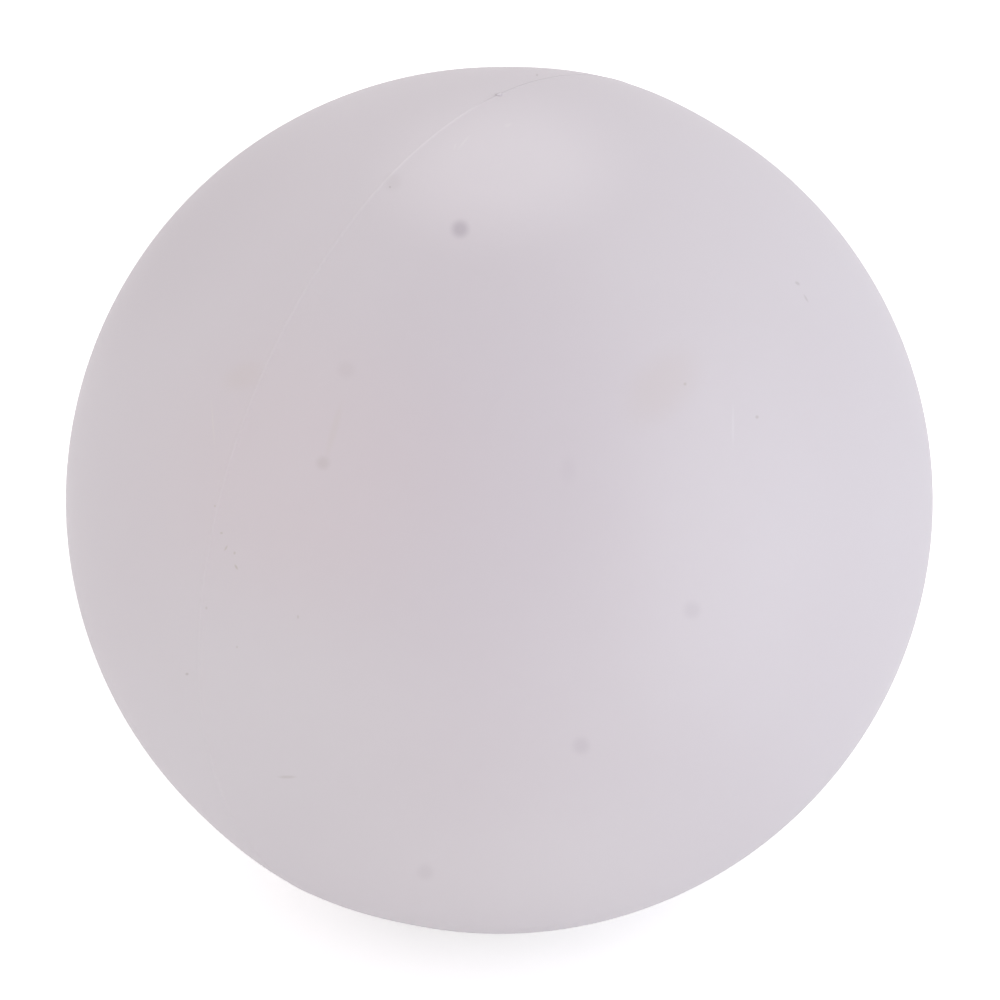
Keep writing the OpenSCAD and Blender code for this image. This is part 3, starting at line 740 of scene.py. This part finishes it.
@dataclass(frozen=True)
class SolderMask(Finish):
    """Glass-fibre board under solder mask: semi-gloss, with lines where copper tracks lie under it.

    Attributes:
        track_colour: Colour of the mask over copper.
        track_rise: Pitch of the tracks, drawn coarser than real ones so that they show, and their rise.
        track_half: Half of a track's width, as a share of the pitch.
        track_fade: Share of that half over which its edge fades, each way.
        bundle_mm: Size of a patch whose tracks run the same way.
    """

    track_colour: str = "#2C7B4C"
    track_rise: Relief = Relief(1.8, 0.05, 0.4)
    track_half: float = 0.2
    track_fade: float = 0.1
    bundle_mm: float = 9.0

    def build(self, surface: Surface) -> None:
        """Adds the tracks, which run along X in some patches and along Y in others, and their slight rise.

        Args:
            surface: The surface.
        """
        tree = surface.tree
        pattern = surface.pattern(self.bundle_mm)
        bundles = add_node(tree, "ShaderNodeTexVoronoi", pattern, distance="CHEBYCHEV")
        chance = add_node(tree, "ShaderNodeSeparateXYZ", (bundles.outputs["Color"],))
        turned = add_node(tree, "ShaderNodeMath", (chance, 0.5), operation="GREATER_THAN")
        split = add_node(tree, "ShaderNodeSeparateXYZ", (surface.place,)).outputs
        either = dict(zip(NUMBER_MIX, (turned, split["X"], split["Y"])))
        across = add_node(tree, "ShaderNodeMix", either, data_type="FLOAT")
        pitch = self.track_rise.size_mm * MM
        apart = add_node(tree, "ShaderNodeMath", (across, pitch / 2), operation="PINGPONG")
        near, far = (share * self.track_half * pitch for share in (1 - self.track_fade, 1 + self.track_fade))
        track = add_node(tree, "ShaderNodeMapRange", (apart, near, far, 1.0, 0.0))
        masked = dict(zip(COLOUR_MIX, (track, linear(self.colour), linear(self.track_colour))))
        feed(surface.shader, {"Base Color": add_node(tree, "ShaderNodeMix", masked, data_type="RGBA")})
        self.track_rise.build(surface, track)


@dataclass(frozen=True)
class StainlessSteel(Finish):
    """Stainless steel, turned or drawn: bright grey, with fine lines that stretch its highlights.

    Attributes:
        line_mm: Distance between the drawn lines.
        stretch: Scale of the lines along X, Y and Z.
        spread: Change of roughness on the glossiest and on the dullest line.
    """

    sockets: ClassVar[dict[str, Any]] = {"Metallic": 1.0}
    line_mm: float = 0.25
    stretch: tuple[float, float, float] = (0.15, 1.0, 1.0)
    spread: tuple[float, float] = (-0.06, 0.08)

    def build(self, surface: Surface) -> None:
        """Adds the drawn lines.

        Args:
            surface: The surface.
        """
        tree = surface.tree
        stretched = add_node(tree, "ShaderNodeMapping", {"Vector": surface.place, "Scale": self.stretch})
        drawn = surface.pattern(self.line_mm, Detail=GRAIN_DETAIL) | {"Vector": stretched}
        lines = add_node(tree, "ShaderNodeTexNoise", drawn)
        ends = (self.roughness + change for change in self.spread)
        feed(surface.shader, {"Roughness": add_node(tree, "ShaderNodeMapRange", (lines, 0.0, 1.0, *ends))})


@dataclass(frozen=True)
class GlossyPvc(Finish):
    """Soft PVC, as a shrink sleeve or a wire's insulation: even colour, slow waves and a wet gloss."""

    grain: Relief | None = Relief(5.0, 0.15, 0.3)
    gloss: GlossPatches | None = GlossPatches(0.0, 0.1, 8.0)


@dataclass(frozen=True)
class FoamTape(Finish):
    """Closed-cell foam tape: chalky white, pitted with cut cells.

    Attributes:
        cells: The cut cells.
    """

    cells: Relief = Relief(0.5, 0.2, 0.6)

    def build(self, surface: Surface) -> None:
        """Adds the cut cells."""
        pattern = surface.pattern(self.cells.size_mm)
        self.cells.build(surface, add_node(surface.tree, "ShaderNodeTexVoronoi", pattern))


@dataclass(frozen=True)
class LedPackage(Finish):
    """A surface-mount LED: an ivory case with a window of clear resin over yellow phosphor.

    Attributes:
        resin_colour: Colour of the phosphor under the resin.
        resin_roughness: Roughness of the resin.
        resin_z: Height above which the resin is, in metres.
    """

    resin_colour: str = "#E3C44A"
    resin_roughness: float = 0.12
    resin_z: float = 0.0

    def build(self, surface: Surface) -> None:
        """Adds the resin's colour and its gloss.

        Args:
            surface: The surface.
        """
        tree = surface.tree
        height = add_node(tree, "ShaderNodeSeparateXYZ", (surface.place,)).outputs["Z"]
        resin = add_node(tree, "ShaderNodeMath", (height, self.resin_z), operation="GREATER_THAN")
        cast = dict(zip(COLOUR_MIX, (resin, linear(self.colour), linear(self.resin_colour))))
        sheen = (resin, 0.0, 1.0, self.roughness, self.resin_roughness)
        feed(
            surface.shader,
            {
                "Base Color": add_node(tree, "ShaderNodeMix", cast, data_type="RGBA"),
                "Roughness": add_node(tree, "ShaderNodeMapRange", sheen),
            },
        )


# Sub-assemblies


@dataclass
class Ball:
    """The moulded ball with its seam and in-turned neck.

    Attributes:
        radius: Outer radius.
        wall: Thickness of the wall.
        rim_r: Radius of the flat rim at the bottom.
        bore_r: Radius of the neck's bore.
        neck_h: Height of the neck.
        seam_rise: Rise of the seam's ridge.
        seam_spread: Angle over which the ridge fades on each side, in degrees.
        seam_turn: Turn of the seam about the vertical, in degrees.
        seam_lean: Lean of the seam's plane from the vertical, in degrees.
        flash_rise: Rise of the flash line.
        flash_reach: How far the flash line fades out on each side.
        flash_cuts: Where its crest ends, where it is half faded and where it ends, as shares of that reach.
        nub_r: Radius of the moulding nub.
        nub_h: Length of the nub, half of which lies in the wall.
        nub_edge: Radius of the nub's rounded edge.
        nub_steps: Faces across that edge.
        nub_crisp_above: Edges of the nub that turn by more than this, in degrees, stay sharp.
        nub_offset: Distance of the nub from the top along the seam, less than nothing towards the front.
        nub_sides: Sides of the nub.
        segments: Faces round the seam.
        rings: Faces from pole to pole.
        rim_snap: Corners closer than this to the rim's plane lie on it.
        rim_merge: Corners of the rim closer together than this are merged.
        crisp_above: Edges of the skin that turn by more than this, in degrees, stay sharp.
    """

    radius: float = 174.94 * MM
    wall: float = 2.2 * MM
    rim_r: float = 58 * MM
    bore_r: float = 53 * MM
    neck_h: float = 15 * MM
    seam_rise: float = 1.2 * MM
    seam_spread: float = 14.0
    seam_turn: float = -38.4
    seam_lean: float = 1.0
    flash_rise: float = 0.14 * MM
    flash_reach: float = 1.8 * MM
    flash_cuts: tuple[float, float, float] = (1 / 6, 1 / 2, 1)
    nub_r: float = 1.3 * MM
    nub_h: float = 1.2 * MM
    nub_edge: float = 0.35 * MM
    nub_steps: int = 4
    nub_crisp_above: float = 60.0
    nub_offset: float = -4.4 * MM
    nub_sides: int = 32
    segments: int = 240
    rings: int = 120
    rim_snap: float = 0.001 * MM
    rim_merge: float = 0.05 * MM
    crisp_above: float = 12.0

    @cached_property
    def rim_z(self) -> float:
        """Height of the rim."""
        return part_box("globe_shell")[0][2]

    @cached_property
    def centre(self) -> Vector:
        """Middle of the ball."""
        return Vector((0.0, 0.0, self.rim_z + math.sqrt(self.radius**2 - self.rim_r**2)))

    @cached_property
    def seam_axis(self) -> Vector:
        """Direction square to the seam's plane."""
        turn, lean = math.radians(self.seam_turn), math.radians(self.seam_lean)
        return Vector((math.cos(turn) * math.cos(lean), math.sin(turn) * math.cos(lean), -math.sin(lean)))

    def build(self, finish: Finish) -> list[bpy.types.Object]:
        """Makes the ball's skin and its nub.

        Args:
            finish: What they are made of.

        Returns:
            Both pieces.
        """
        return [self.build_skin(finish), self.build_nub(finish)]

    def build_skin(self, finish: Finish) -> bpy.types.Object:
        """Shapes the ball from a sphere whose poles lie square to the seam.

        Args:
            finish: What it is made of.

        Returns:
            The skin, which stands for the CAD shell.
        """
        bpy.ops.object.select_all(action="DESELECT")
        bpy.ops.mesh.primitive_uv_sphere_add(
            segments=self.segments,
            ring_count=self.rings,
            radius=self.radius,
            location=self.centre,
            rotation=UP.rotation_difference(self.seam_axis).to_euler(),
        )
        skin = bpy.context.active_object
        skin.name = "ball_skin"
        bpy.ops.object.transform_apply(location=True, rotation=True, scale=True)
        start_edit(skin)
        self.raise_seam(skin)
        self.open_neck(skin)
        end_edit()
        wall = skin.modifiers.new("wall", "SOLIDIFY")
        wall.thickness = self.wall
        wall.offset = -1.0
        wall.use_even_offset = True
        finish_piece(skin, self.crisp_above)
        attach(skin, "ball")
        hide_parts("globe_shell")
        dress(skin, finish.material())
        return skin

    def seam_offset(self, point: Vector) -> float:
        """Distance of a point from the seam's plane."""
        return abs((point - self.centre).dot(self.seam_axis))

    def raise_seam(self, skin: bpy.types.Object) -> None:
        """Swells the middle ring into the seam's soft ridge, then cuts in the flash line and lifts it.

        Args:
            skin: The ball, open in edit mode.
        """
        pick(skin, lambda p: self.seam_offset(p) < TOUCH)
        bpy.ops.transform.resize(
            value=(1 + self.seam_rise / self.radius,) * 3,
            center_override=self.centre,
            use_proportional_edit=True,
            proportional_edit_falloff="SMOOTH",
            proportional_size=math.radians(self.seam_spread) * self.radius,
        )
        for share in self.flash_cuts:
            for side in (-1, 1):
                bpy.ops.mesh.select_all(action="SELECT")
                bpy.ops.mesh.bisect(
                    plane_co=self.centre + self.seam_axis * side * share * self.flash_reach,
                    plane_no=self.seam_axis,
                )
        pick(skin, lambda p: self.seam_offset(p) < self.flash_cuts[0] * self.flash_reach + TOUCH)
        bpy.ops.transform.resize(
            value=(1 + self.flash_rise / self.radius,) * 3,
            center_override=self.centre,
        )

    def open_neck(self, skin: bpy.types.Object) -> None:
        """Cuts the ball flat at its rim and turns the edge in and up into the neck.

        Args:
            skin: The ball, open in edit mode.
        """
        bpy.ops.mesh.select_all(action="SELECT")
        bpy.ops.mesh.bisect(
            plane_co=(0, 0, self.rim_z),
            plane_no=UP,
            clear_inner=True,
            threshold=self.rim_snap,
        )
        bpy.ops.mesh.select_mode(type=MeshPart.EDGE.value)
        bpy.ops.mesh.select_all(action="DESELECT")
        bpy.ops.mesh.select_non_manifold()
        bpy.ops.mesh.remove_doubles(threshold=self.rim_merge)
        bpy.ops.mesh.select_non_manifold()
        bpy.ops.mesh.extrude_region_move()
        inward = self.bore_r / self.rim_r
        bpy.ops.transform.resize(value=(inward, inward, 1), center_override=(0, 0, self.rim_z))
        bpy.ops.mesh.extrude_region_move(TRANSFORM_OT_translate={"value": (0, 0, self.neck_h)})
        bpy.ops.mesh.select_all(action="SELECT")
        bpy.ops.mesh.normals_make_consistent(inside=False)

    def build_nub(self, finish: Finish) -> bpy.types.Object:
        """Makes the little nub that the mould leaves beside the top of the ball.

        Args:
            finish: What it is made of.

        Returns:
            The nub.
        """
        along = UP.cross(self.seam_axis).normalized()
        crest = self.seam_axis.cross(along)
        lean = self.nub_offset / self.radius
        outward = crest * math.cos(lean) + along * math.sin(lean)
        root = self.centre + outward * (self.radius + self.seam_rise)
        nub = add_cylinder("moulding_nub", self.nub_sides, self.nub_r, self.nub_h, root, outward)
        soft_edge(nub, self.nub_edge, self.nub_steps)
        finish_piece(nub, self.nub_crisp_above)
        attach(nub, "ball")
        dress(nub, finish.material())
        return nub


@dataclass
class PowerButton:
    """The soft button in the underside, with a ring and a dish that a thumb finds.

    Attributes:
        lip_h: Height of the lip that holds it in.
        lip_reach: How far the lip stands out from the cap.
        ring_inset: Distance of the ring from the cap's edge.
        ring_w: Width of each slope and of the floor of the ring's groove.
        ring_depth: Depth of the groove.
        dish_depth: Depth of the dish.
        edge: Radius of its rounded edges.
        sides: Sides of the cap.
    """

    lip_h: float = 1.0 * MM
    lip_reach: float = 1.1 * MM
    ring_inset: float = 0.9 * MM
    ring_w: float = 0.3 * MM
    ring_depth: float = 0.25 * MM
    dish_depth: float = 0.4 * MM
    edge: float = 0.12 * MM
    sides: int = 64

    def build(self, finish: Finish) -> list[bpy.types.Object]:
        """Shapes the button down from its lip.

        Args:
            finish: What it is made of.

        Returns:
            The button, which stands for the CAD one.
        """
        low, high = (Vector(corner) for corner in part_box("power_button"))
        middle = (low + high) / 2
        lip_z = high.z - self.lip_h
        middle.z = high.z - self.lip_h / 2
        button = add_cylinder("button_cap", self.sides, (high.x - low.x) / 2, self.lip_h, middle)
        start_edit(button)
        pick(button, lambda p: p.z < lip_z + TOUCH, MeshPart.FACE)
        bpy.ops.mesh.inset(thickness=self.lip_reach)
        bpy.ops.mesh.extrude_region_move(TRANSFORM_OT_translate={"value": (0, 0, low.z - lip_z)})
        bpy.ops.mesh.inset(thickness=self.ring_inset)
        bpy.ops.mesh.inset(thickness=self.ring_w, depth=-self.ring_depth)
        bpy.ops.mesh.inset(thickness=self.ring_w)
        bpy.ops.mesh.inset(thickness=self.ring_w, depth=self.ring_depth)
        bpy.ops.mesh.inset(thickness=2 * self.ring_w, depth=-self.dish_depth / 2)
        bpy.ops.mesh.inset(thickness=2 * self.ring_w, depth=-self.dish_depth / 2)
        end_edit()
        soft_edge(button, self.edge)
        finish_piece(button)
        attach(button, "button")
        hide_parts("power_button")
        dress(button, finish.material())
        return [button]


@dataclass
class Feet:
    """The four rubber feet, each a rounded puck with a shallow cup that helps it grip.

    Attributes:
        edge: Radius of a foot's rounded edge.
        cup_inset: Distance of the cup from the foot's edge.
        cup_depth: Depth of the cup.
        start: Direction of the first foot, in degrees.
        count: Number of feet.
        sides: Sides of a foot.
    """

    edge: float = 0.5 * MM
    cup_inset: float = 1.5 * MM
    cup_depth: float = 0.4 * MM
    start: float = 45.0
    count: int = 4
    sides: int = 48

    def build(self, finish: Finish) -> list[bpy.types.Object]:
        """Shapes one foot and copies it round the base.

        Args:
            finish: What they are made of.

        Returns:
            The feet, which stand for the CAD ones.
        """
        low, high = (Vector(corner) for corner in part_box("rubber_feet"))
        height = high.z - low.z
        radius = self.foot_radius()
        ring = (high.x - radius) / math.cos(math.radians(self.start))
        first = self.shape_foot(radius, height, ring)
        feet = [first]
        for index in range(1, self.count):
            foot = first.copy()
            foot.data = first.data.copy()
            foot.name = f"foot_{index + 1}"
            bpy.context.scene.collection.objects.link(foot)
            foot.rotation_euler = (0, 0, math.radians(index * 360 / self.count))
            feet.append(foot)
        for foot in feet:
            finish_piece(foot, ROUNDED_ABOVE)
            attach(foot, "base")
            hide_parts("rubber_feet")
            dress(foot, finish.material())
        return feet

    def foot_radius(self) -> float:
        """Measures a foot of the CAD.

        Returns:
            The foot's radius.
        """
        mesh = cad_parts["rubber_feet"].data
        first = [v.co for v in mesh.vertices if v.co.x > 0 and v.co.y > 0]
        return (max(p.x for p in first) - min(p.x for p in first)) / 2

    def shape_foot(self, radius: float, height: float, ring: float) -> bpy.types.Object:
        """Shapes the first foot.

        Args:
            radius: Its radius.
            height: Its height.
            ring: Distance of its middle from the base's middle.

        Returns:
            The foot.
        """
        turn = math.radians(self.start)
        middle = Vector((ring * math.cos(turn), ring * math.sin(turn), height / 2))
        foot = add_cylinder("foot_1", self.sides, radius, height, middle)
        start_edit(foot)
        pick(foot, lambda p: p.z < TOUCH, MeshPart.FACE)
        bpy.ops.mesh.inset(thickness=self.cup_inset)
        bpy.ops.mesh.inset(thickness=self.cup_depth, depth=-self.cup_depth)
        end_edit()
        soft_edge(foot, self.edge / 2)
        return foot


# The studio


@dataclass
class SoftLight:
    """A square soft light.

    Attributes:
        name: Its name.
        direction: Where it stands, as a direction from the ball.
        level: Light that it gives a surface that faces it, where 1 shows white as white.
        size: Its side, in metres.
        distance: Its distance from the ball, in metres.
        colour: Its colour, as sRGB hex.
    """

    name: str
    direction: tuple[float, float, float]
    level: float
    size: float = 1.6
    distance: float = 2.2
    colour: str = WHITE

    def build(self, target: Vector) -> bpy.types.Object:
        """Hangs the light and turns it to the ball.

        Args:
            target: Middle of the ball.

        Returns:
            The light.
        """
        data = bpy.data.lights.new(self.name, "AREA")
        data.size = self.size
        data.energy = self.level * math.pi**2 * self.distance**2
        data.color = linear(self.colour)[:3]
        lamp = bpy.data.objects.new(self.name, data)
        bpy.context.scene.collection.objects.link(lamp)
        away = Vector(self.direction).normalized()
        lamp.location = target + away * self.distance
        lamp.rotation_euler = (-away).to_track_quat("-Z", "Y").to_euler()
        return lamp


@dataclass
class Studio:
    """A white room with a pale floor and soft lights.

    Attributes:
        target: Middle of the ball.
        room_level: Light that the room gives from all sides.
        room_colour: Colour of that light.
        floor_side: Side of the floor, in metres.
        floor_colour: Colour of the floor.
        floor_share: Share of its own white that the floor shows the camera over its lit surface.
        lights: The soft lights.
    """

    target: Vector
    room_level: float = 0.80
    room_colour: str = "#FFFBFA"
    floor_side: float = 16.0
    floor_colour: str = "#F3F3F3"
    floor_share: float = 0.5
    lights: tuple[SoftLight, ...] = (
        SoftLight("soft_right", (0.95, -0.31, -0.05), 0.22, colour="#E0ECFF"),
        SoftLight("soft_high_right", (0.71, -0.41, 0.57), 0.11, colour="#DFF3FF"),
        SoftLight("soft_front", (0.1, -1.0, -0.05), 0.13, size=1.4, colour="#FFF6F2"),
        SoftLight("soft_left", (-0.98, 0.17, -0.05), 0.11, size=1.4, colour="#F2FCFA"),
        SoftLight("soft_back", (-0.03, 0.71, 0.70), 0.05, size=0.5),
    )

    def build(self) -> None:
        """Builds the room, the floor and the lights."""
        bpy.context.scene.view_settings.view_transform = "Standard"
        self.build_room()
        self.build_floor()
        for light in self.lights:
            light.build(self.target)
            log.info("light %s", light.name)

    def seen_directly(self, tree: bpy.types.NodeTree) -> bpy.types.Node:
        """Says whether a ray comes from the camera, or through a reflection or clear plastic.

        Args:
            tree: The node tree.

        Returns:
            A node that gives 1 for such a ray and 0 for one that lights a surface.
        """
        path = add_node(tree, "ShaderNodeLightPath").outputs
        seen = path["Is Camera Ray"]
        for name in ("Is Glossy Ray", "Is Transmission Ray"):
            seen = add_node(tree, "ShaderNodeMath", (seen, path[name]), operation="MAXIMUM")
        return seen

    def build_room(self) -> None:
        """Makes the world: white where it is seen, and softer where it lights."""
        world = bpy.data.worlds.new("white_room")
        world.use_nodes = True
        bpy.context.scene.world = world
        tree = world.node_tree
        tree.nodes.clear()
        lighting = add_node(tree, "ShaderNodeBackground", (linear(self.room_colour), self.room_level))
        shown = add_node(tree, "ShaderNodeBackground", (linear(WHITE), 1.0))
        mixed = add_node(tree, "ShaderNodeMixShader", (self.seen_directly(tree), lighting, shown))
        add_node(tree, "ShaderNodeOutputWorld", {"Surface": mixed})

    def build_floor(self) -> bpy.types.Object:
        """Lays the floor, which shows white but keeps the ball's soft shadow.

        Returns:
            The floor.
        """
        bpy.ops.object.select_all(action="DESELECT")
        bpy.ops.mesh.primitive_plane_add(size=self.floor_side)
        floor = bpy.context.active_object
        floor.name = "studio_floor"
        material = bpy.data.materials.new("floor_white")
        material.use_nodes = True
        tree = material.node_tree
        tree.nodes.clear()
        lit = add_node(tree, "ShaderNodeBsdfDiffuse", (linear(self.floor_colour),))
        own = (self.seen_directly(tree), self.floor_share)
        white = (linear(WHITE), add_node(tree, "ShaderNodeMath", own, operation="MULTIPLY"))
        glow = add_node(tree, "ShaderNodeEmission", white)
        both = add_node(tree, "ShaderNodeAddShader", (lit, glow))
        add_node(tree, "ShaderNodeOutputMaterial", {"Surface": both})
        dress(floor, material)
        return floor


# What each piece is made of

BALL_MARKS_AND_PAINTED_LIGHT = (
    # Broad zones of painted light and shade
    # A painted highlight near the top
    MarkOrPaintedLight((500, 165), (118, 76), 6, "#F4EEF4", 0.34),
    # Painted shade down the middle
    MarkOrPaintedLight((500, 462), (162, 242), 0, "#CBC2CD", 0.24),
    # Painted light on the right
    MarkOrPaintedLight((725, 540), (110, 190), 0, "#E8E4EC", 0.16),
    # Painted light at the lower left
    MarkOrPaintedLight((262, 740), (180, 150), -30, "#E4E3E7", 0.22),
    # Painted light along the bottom
    MarkOrPaintedLight((520, 930), (310, 133), 0, "#EEEBEF", 0.26),
    # Painted shade at the upper left
    MarkOrPaintedLight((150, 190), (110, 240), -40, "#BDB6BC", 0.22),
    # A painted pink reflection on the left
    MarkOrPaintedLight((300, 470), (170, 140), 0, "#E0CED2", 0.16),
    # Two brownish smudges, one with a speck in it
    MarkOrPaintedLight((243, 376), (22, 14), 25, "#D2C6BE", 0.15),
    MarkOrPaintedLight((662, 386), (46, 28), 48, "#D3C8C6", 0.24),
    MarkOrPaintedLight((685, 384), (1.6, 1.6), 0, "#B9B0A9", 0.40),
    # Soft grey spots
    MarkOrPaintedLight((460, 229), (9, 9), 0, "#A79EAB", 0.44),
    MarkOrPaintedLight((346, 370), (9, 9), 0, "#C2B8BC", 0.15),
    MarkOrPaintedLight((323, 463), (7, 7), 0, "#BDB4B4", 0.26),
    MarkOrPaintedLight((393, 182), (9, 9), 0, "#C6BEC2", 0.15),
    MarkOrPaintedLight((568, 470), (8, 14), 0, "#C6BEC8", 0.15),
    MarkOrPaintedLight((692, 610), (9, 9), 0, "#C0B9C2", 0.22),
    MarkOrPaintedLight((581, 746), (9, 9), 0, "#BAB2BC", 0.26),
    MarkOrPaintedLight((425, 872), (9, 9), 0, "#BEB6BE", 0.18),
    # A run below the spot, scuffs by the seam, and scratches on the right
    MarkOrPaintedLight((334, 430), (4, 27), -16, "#CFC8BE", 0.14),
    MarkOrPaintedLight((464, 142), (9, 1.2), 50, "#EDEAEC", 0.34),
    MarkOrPaintedLight((455, 146), (4, 1), 72, "#EDEAEC", 0.26),
    MarkOrPaintedLight((508, 125), (4, 2), 20, "#EDEAEC", 0.22),
    MarkOrPaintedLight((797.5, 283.3), (1.6, 3), 55, "#B4ADAF", 0.40),
    MarkOrPaintedLight((806, 298.3), (1, 4.6), 30, "#B4ADAF", 0.36),
    MarkOrPaintedLight((733, 425), (1.2, 20), 0, "#EAE7EC", 0.26),
    MarkOrPaintedLight((757, 417), (1.8, 1.8), 0, "#B9B0AF", 0.42),
    # A row of specks that bends down the left side, and single specks
    MarkOrPaintedLight((213, 424), (0.8, 26), 4, "#E4DFDC", 0.30),
    MarkOrPaintedLight((215, 506), (1.2, 1.2), 0, "#B6B09E", 0.30),
    MarkOrPaintedLight((221.5, 533), (1.6, 1.2), 0, "#B6B09E", 0.34),
    MarkOrPaintedLight((226, 548), (1, 3), -30, "#B6B09E", 0.36),
    MarkOrPaintedLight((234.6, 553), (1.2, 1.6), 0, "#B6B09E", 0.34),
    MarkOrPaintedLight((236.2, 567), (1.1, 3), 30, "#B6B09E", 0.42),
    MarkOrPaintedLight((298, 617), (1.2, 2), 0, "#BBB4B0", 0.36),
    MarkOrPaintedLight((237, 647), (1.2, 1.2), 0, "#BBB4B0", 0.34),
    MarkOrPaintedLight((187, 674), (1.8, 1.4), 0, "#B0A9A5", 0.44),
    MarkOrPaintedLight((206.4, 608), (1.2, 1.6), 0, "#BBB4B0", 0.36),
    MarkOrPaintedLight((287, 777), (9, 1.6), 0, "#BDB6B3", 0.34),
    MarkOrPaintedLight((390, 187), (1.2, 1.2), 0, "#ABA3A6", 0.40),
    MarkOrPaintedLight((537, 75), (1.4, 1.4), 0, "#ABA3A6", 0.40),
)


# Depth of the resin in an LED's case
RESIN_DEPTH = 0.3 * MM


def node_finishes(ball: Finish) -> tuple[tuple[Finish, tuple[str, ...]], ...]:
    """Sorts the carried-over CAD nodes by what they are made of.

    Args:
        ball: The ball's finish.

    Returns:
        Each finish and the nodes that have it.
    """
    resin_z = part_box("led_chips")[1][2] - RESIN_DEPTH
    return (
        (ball, ("globe_shell",)),
        (MouldedAbs("abs_collar", "#D2D3D1", 0.42, 1.53), ("neck_collar",)),
        (MouldedAbs("abs_base", "#D9D9D5", 0.40, 1.53), ("base_housing", "bottom_cover")),
        (MouldedAbs("nylon_spacer", "#D8D3C4", 0.50, 1.53), ("led_spacers",)),
        (MouldedAbs("nylon_cradle", "#17171A", 0.50, 1.53), ("battery_holder",)),
        (
            MouldedAbs("epoxy_parts", "#1B1B1D", 0.45, 1.55, Relief(0.2, 0.02, 0.35)),
            ("board_parts", "tact_switch", "switch_plunger"),
        ),
        (
            CastSilicone("silicone_seals", "#55585C", 0.60, 1.41),
            (
                "neck_gasket",
                "plug_o_ring",
                "cover_seal",
                "panel_seal",
                "button_seal",
                "dome_seal",
                "wire_grommet",
            ),
        ),
        (ClearPolycarbonate("polycarbonate_window", "#20242C", 0.05, 1.585), ("panel_window",)),
        (FrostedPolycarbonate("polycarbonate_dome", "#F4F5F5", 0.45, 1.585), ("led_dome",)),
        (SiliconCell("silicon_cells", "#0B1226", 0.25), ("solar_cells",)),
        (SolderMask("fr4_green", "#14502F", 0.30, 1.55), ("panel_board", "control_board")),
        (SolderMask("fr4_white", "#E2E2DC", 0.35, 1.55, track_colour="#D0D0C9"), ("led_board",)),
        (GlossyPvc("pvc_cell_sleeve", "#2A5C9C", 0.22, 1.53), ("battery_cell",)),
        (GlossyPvc("pvc_wire_red", "#A3201A", 0.35, 1.53), ("panel_leads",)),
        (GlossyPvc("pvc_wire_black", "#1A1A1B", 0.35, 1.53), ("battery_leads",)),
        (GlossyPvc("pvc_wire_green", "#1E7A3C", 0.35, 1.53), ("led_leads",)),
        (FoamTape("foam_tape", "#D8D8D2", 0.90, 1.45), ("holder_pad",)),
        (LedPackage("led_package", "#E8E4D3", 0.40, 1.54, resin_z=resin_z), ("led_chips",)),
        (
            StainlessSteel("stainless_steel", "#BEBFC0", 0.30),
            (
                "cover_screws",
                "board_screws",
                "battery_contacts",
                "led_board_screws",
                "dome_screws",
                "tether_bail",
            ),
        ),
    )


def main() -> None:
    """Builds the pieces, dresses the CAD nodes and sets up the studio."""
    ball = Ball()
    shot = Shot(target=ball.centre, ball_r=ball.radius)
    shot.build()
    skin = MouldedPolyethylene(
        "polyethylene_ball",
        "#DAD4DA",
        0.5,
        1.51,
        marks=BALL_MARKS_AND_PAINTED_LIGHT,
        shot=shot,
        seam_axis=ball.seam_axis,
    )
    foot = CastSilicone("rubber_feet", "#2B2B2D", 0.70, 1.52, dust="#77777A")
    cap = CastSilicone("silicone_button", "#7B8087", 0.55, 1.41, dust="#9A9DA1")
    for assembly, finish in ((ball, skin), (PowerButton(), cap), (Feet(), foot)):
        for piece in assembly.build(finish):
            log.info("%s: %s, %d faces", type(assembly).__name__, piece.name, len(piece.data.polygons))
    for finish, nodes in node_finishes(skin):
        for name in nodes:
            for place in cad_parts[name].material_slots:
                place.material = finish.material()
            log.info("%s is %s", name, finish.name)
    Studio(shot.target).build()


if __name__ == "__main__":
    main()
